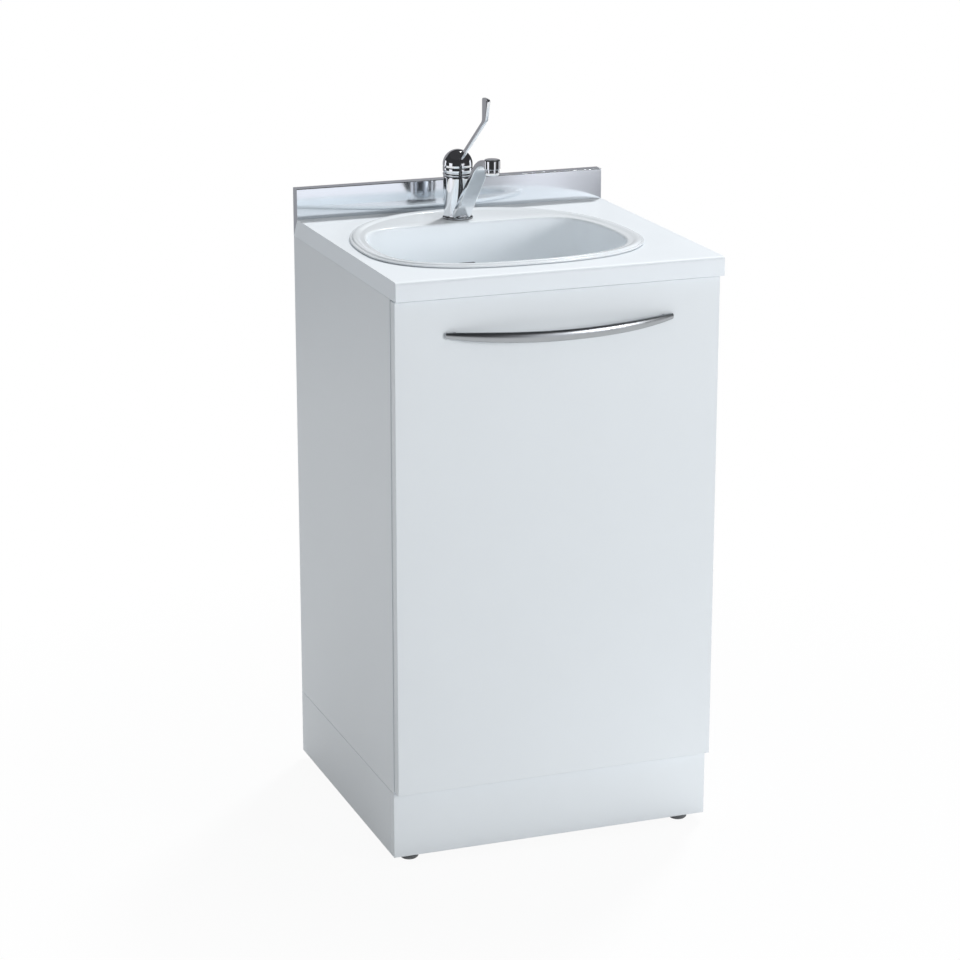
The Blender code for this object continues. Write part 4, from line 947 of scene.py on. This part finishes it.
def spout_line():
    """Middle of the spout from the side, as (out, up) points: a climb, a bend and a level end."""
    corner = Vector((SPOUT_ROOT.x + (SPOUT_LEVEL - SPOUT_ROOT.y) / math.tan(SPOUT_ANGLE), SPOUT_LEVEL))
    before = corner - SPOUT_BEND * Vector((math.cos(SPOUT_ANGLE), math.sin(SPOUT_ANGLE)))
    after = corner + Vector((SPOUT_BEND, 0))
    line = [SPOUT_ROOT]
    for i in range(BEND_ROWS):
        t = i / (BEND_ROWS - 1)
        line.append(before * (1 - t) ** 2 + corner * 2 * t * (1 - t) + after * t ** 2)
    line.append(Vector((SPOUT_END, SPOUT_LEVEL)))
    return line


def make_spout():
    """Flat tapering bar with round corners that climbs from the body and levels off."""
    line = spout_line()

    def place(row, turn):
        point = line[row]
        way = line[min(row + 1, len(line) - 1)] - line[max(row - 1, 0)]
        normal = Vector((-way.y, way.x)).normalized()
        share = (point.x - SPOUT_ROOT.x) / (SPOUT_END - SPOUT_ROOT.x)
        half = (SPOUT_WIDTHS[0] + (SPOUT_WIDTHS[1] - SPOUT_WIDTHS[0]) * share) / 2 - SPOUT_CORNER
        thick = SPOUT_THICK / 2 - SPOUT_CORNER
        quarter, step = divmod(turn, CORNER_STEPS)
        angle = math.pi / 2 * (quarter + step / (CORNER_STEPS - 1))
        across = (half if quarter in (0, 3) else -half) + SPOUT_CORNER * math.cos(angle)
        up = (thick if quarter < 2 else -thick) + SPOUT_CORNER * math.sin(angle)
        out, height = point + normal * up
        return TAP + Vector((across, -out, height))

    spout = drawn(len(line), 4 * CORNER_STEPS, True, place)
    cleaned(spout)
    return spout


def make_tap():
    """Cast body with its spout and head, the aerator, and the collar under the lever's cap."""
    body = lathe(BODY_SECTION, TAP)
    joined(body, make_spout(), "UNION")
    joined(body, rod(SHANK_HOLE, -SHANK_DEPTH, SHANK_DEPTH, TAP), "DIFFERENCE")
    joined(body, lathe(HEAD_SECTION, HEAD, sides=HEAD_SIDES), "UNION")
    joined(body, rod(AERATOR_HOLE, -HEAD_TALL, AERATOR_DEPTH, HEAD), "DIFFERENCE")
    stands_for(body, "mixer_body", "tap_body")
    stands_for(lathe(AERATOR_SECTION, HEAD), "aerator_ring", "aerator")
    stands_for(lathe(COLLAR_SECTION, TAP + COLLAR_Z * UP), "grooved_collar", "tap_collar")


LEVER_ANGLE = math.radians(35.4)
LEVER_THICK = 0.0046
LEVER_DEPTH = 0.0068
LEVER_BEND = 0.010
LEVER_EASE = 0.0007
LEVER_SINK = 0.0020
LEVER_TOP = 0.1185
PADDLE_OUT = 0.112
PADDLE_ROOT = 0.015
PADDLE_END = 0.025
PADDLE_CORNER = 0.004
DOME = 0.0228
DOME_BORE = 0.0194
DOME_SKIRT = 0.0035
TILT_RELIEF = math.radians(21.5)
PIN_HOLE = 0.0023
PIN_HALF = 0.0211
PIN_SIDES = 24


def make_lever_blade():
    """Upright strip with softened edges: a rising arm with a paddle turned up at its end."""
    rise = Vector((math.cos(LEVER_ANGLE), math.sin(LEVER_ANGLE)))
    side = Vector((-rise.y, rise.x)) * LEVER_DEPTH / 2
    root = rise * (DOME - LEVER_SINK)
    slope, half = math.tan(LEVER_ANGLE), LEVER_DEPTH / 2 / math.cos(LEVER_ANGLE)
    front = PADDLE_OUT + PADDLE_ROOT
    corners = [(*(root - side), 0), (front, front * slope - half, LEVER_BEND),
               (PADDLE_OUT + PADDLE_END, LEVER_TOP, PADDLE_CORNER), (PADDLE_OUT, LEVER_TOP, PADDLE_CORNER),
               (PADDLE_OUT, PADDLE_OUT * slope + half, LEVER_BEND), (*(root + side), 0)]
    outline = [(BALL.y - out, BALL.z + up) for out, up in rounded(corners)]
    blade = plate(outline, 0, BALL.x - LEVER_THICK / 2, BALL.x + LEVER_THICK / 2)
    eased(blade, LEVER_EASE, segments=3, angle=50)
    return blade


def make_lever():
    """Domed cap with the elbow lever, hollow over the ball and cut away behind for its lift."""
    inside = arc(DOME_BORE, 90, 0, 12)[1:]
    outside = arc(DOME, 0, 90, 24)[:-1]
    profile = [(0, DOME_BORE), *inside, (DOME_BORE, -DOME_SKIRT), (DOME - 0.0006, -DOME_SKIRT),
               (DOME - 0.0002, -DOME_SKIRT + 0.0004), (DOME - 0.00001, -0.0002), *outside, (0, DOME)]
    cap = lathe(profile, BALL)
    joined(cap, make_lever_blade(), "UNION")
    far, rim = 2 * DOME, BALL.z - DOME_SKIRT - GAP
    wedge = [(BALL.y, rim), (BALL.y + far, rim), (BALL.y + far, rim + far * math.tan(TILT_RELIEF))]
    joined(cap, plate(wedge, 0, BALL.x - far, BALL.x + far), "DIFFERENCE")
    joined(cap, rod(PIN_HOLE, -PIN_HALF, PIN_HALF, BALL, RIGHT, PIN_SIDES), "DIFFERENCE")
    stands_for(cap, "elbow_lever_cap", "lever")


# Handle, hinges and screws

HANDLE_ROWS = 65
HANDLE_SIDES = 36
HANDLE_THICK = 0.0080
HANDLE_TALL = 0.0160
HANDLE_TIP_SHARE = 0.52
HANDLE_SAG = 0.0065
HANDLE_ROUND = 0.012
HANDLE_BLUNT = 0.35
POST_INSET = 0.015
POST_RADIUS = 0.0036
POST_EASE = 0.0003
POST_SIDES = 32


def bow_at(share):
    """How far the handle has bowed out, and its section's size, at a share of its half length."""
    return 1 - share ** 2, HANDLE_TIP_SHARE + (1 - HANDLE_TIP_SHARE) * (1 - share ** 4)


def make_handle():
    """Bow handle: a bar drawn out along a shallow bow, thinned to round tips, on two posts."""
    low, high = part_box("handle")
    door_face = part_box("door")[0].y
    reach = door_face - low.y
    half, level = (high.x - low.x) / 2, (high.z + low.z) / 2

    def place(row, turn):
        share = math.sin(math.pi / 2 * (2 * row / (HANDLE_ROWS - 1) - 1))
        bow, size = bow_at(share)
        stand = GAP + (reach - HANDLE_THICK - GAP) * bow
        near_tip = max(0, (abs(share) - 1 + HANDLE_ROUND) / HANDLE_ROUND)
        tip = HANDLE_BLUNT + (1 - HANDLE_BLUNT) * math.sqrt(1 - near_tip ** 2)
        angle = math.tau * turn / HANDLE_SIDES
        thick, tall = HANDLE_THICK * size / 2, HANDLE_TALL * size / 2
        y = door_face - stand - thick - thick * tip * math.cos(angle)
        return share * half, y, level - HANDLE_SAG * bow + tall * tip * math.sin(angle)

    bar = drawn(HANDLE_ROWS, HANDLE_SIDES, True, place)
    cleaned(bar)
    post_share = 1 - POST_INSET / half
    bow, size = bow_at(post_share)
    end = (reach - HANDLE_THICK) * bow + HANDLE_THICK * size / 2
    for side in (-1, 1):
        foot = Vector((side * (half - POST_INSET), door_face, level))
        profile = [(0, GAP), (POST_RADIUS - POST_EASE, GAP), (POST_RADIUS, GAP + POST_EASE),
                   (POST_RADIUS, end), (0, end)]
        joined(bar, lathe(profile, foot, FORWARDS, POST_SIDES), "UNION")
    stands_for(bar, "bow_handle", "handle")


PAN_HEAD = 0.0022
PAN_SIDES = 40
PAN_SLOT = 0.0022
PAN_SLOT_DEPTH = 0.0012
FLAT_HEAD = 0.0026
FLAT_PROUD = 0.0001
FLAT_SLOT = 0.0015
FLAT_SLOT_DEPTH = 0.0004
SLOT_SHAPE = 5
KNUCKLES = 0.0064
# Screws of a hinge leaf: its face, the way their heads look, their place across the leaf as a share of
# its width, and their heights from its middle
LEAF_SCREWS = {
    "frame_leaf": (-0.20255, FORWARDS, 0.42, (-0.017, 0.017)),
    "door_leaf": (-0.20335, BACKWARDS, 0.5, (-0.019, 0, 0.019)),
}


def slot(length, width, depth):
    """Straight slot through a screw's top, about the origin."""
    outline = [(-length, -width), (length, -width), (length, width), (-length, width)]
    return plate(outline, 2, -depth, depth)


def cross_recess(place, along, size, depth):
    """Crossed slots for a screwdriver, cut straight into a head."""
    tool = slot(size, size / SLOT_SHAPE, depth)
    joined(tool, slot(size / SLOT_SHAPE, size, depth), "UNION")
    tool.matrix_world = Matrix.Translation(place) @ UP.rotation_difference(along).to_matrix().to_4x4()
    pick(tool)
    bpy.ops.object.transform_apply(location=True, rotation=True, scale=True)
    return tool


def make_handle_screws():
    """Pan-head screws through the door into the handle's posts."""
    for side in ("left", "right"):
        node = f"handle_screw_{side}"
        low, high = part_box(node)
        place = Vector(((low.x + high.x) / 2, low.y, (low.z + high.z) / 2))
        length = high.y - low.y
        head = length - PAN_HEAD
        profile = [(0, 0), (0.0017, 0), (0.0020, 0.0004), (0.0020, head), (0.0042, head),
                   (0.0042, head + 0.0007), (0.0038, head + 0.0014), (0.0028, length - 0.0003),
                   (0.0014, length), (0, length)]
        screw = lathe(profile, place, BACKWARDS, PAN_SIDES)
        recess = cross_recess(place + length * BACKWARDS, BACKWARDS, PAN_SLOT, PAN_SLOT_DEPTH)
        joined(screw, recess, "DIFFERENCE")
        stands_for(screw, f"pan_{node}", node)


def make_hinge_screws():
    """Countersunk screws, flush in the hinge leaves: one is made, and the rest are its copies."""
    profile = [(0, -0.0006), (FLAT_HEAD - 0.0006, -0.0006), (FLAT_HEAD, 0), (FLAT_HEAD - 0.0003, FLAT_PROUD),
               (0, FLAT_PROUD)]
    first = lathe(profile, (0, 0, 0), FORWARDS, SMALL_SIDES)
    recess = cross_recess(FLAT_PROUD * FORWARDS, FORWARDS, FLAT_SLOT, FLAT_SLOT_DEPTH)
    joined(first, recess, "DIFFERENCE")
    for hinge in ("lower", "upper"):
        for leaf, (face, looking, share, heights) in LEAF_SCREWS.items():
            node = f"hinge_{hinge}_{leaf}"
            low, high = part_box(node)
            x = low.x + (high.x - KNUCKLES - low.x) * share
            middle = (low.z + high.z) / 2
            for i, height in enumerate(heights):
                screw = bpy.data.objects.new("screw", first.data.copy())
                bpy.context.scene.collection.objects.link(screw)
                if looking == BACKWARDS:
                    screw.rotation_euler = (0, 0, math.pi)
                screw.location = (x, face, middle + height)
                finished(screw, f"{node}_screw_{i + 1}", "zinc_steel", BODY_OF[node])
    bpy.data.objects.remove(first)


# Whole object

# Solids that keep their shape, with their round faces shaded smooth
SMOOTH_STARTS = ("foot_", "hinge_", "inlet_")
SMOOTH_NODES = ["worktop", "upstand", "tailpiece", "trap_body", "outlet_pipe", "cartridge", "tap_gasket",
                "tap_shank", "tap_washer", "tap_nut", "lever_ball", "lever_pin"]


def main():
    """Studio, new pieces, smooth solids, and the finish of every solid."""
    add_studio()
    make_basin()
    make_strainer()
    make_trap()
    make_tap()
    make_lever()
    make_handle()
    make_handle_screws()
    make_hinge_screws()
    starting = [node for node in NODES if node.startswith(SMOOTH_STARTS)]
    for node in starting + SMOOTH_NODES:
        smoothed(node)
    for node, obj in NODES.items():
        obj.data.materials.clear()
        obj.data.materials.append(FINISHES[SLOT_OF[node]])


main()
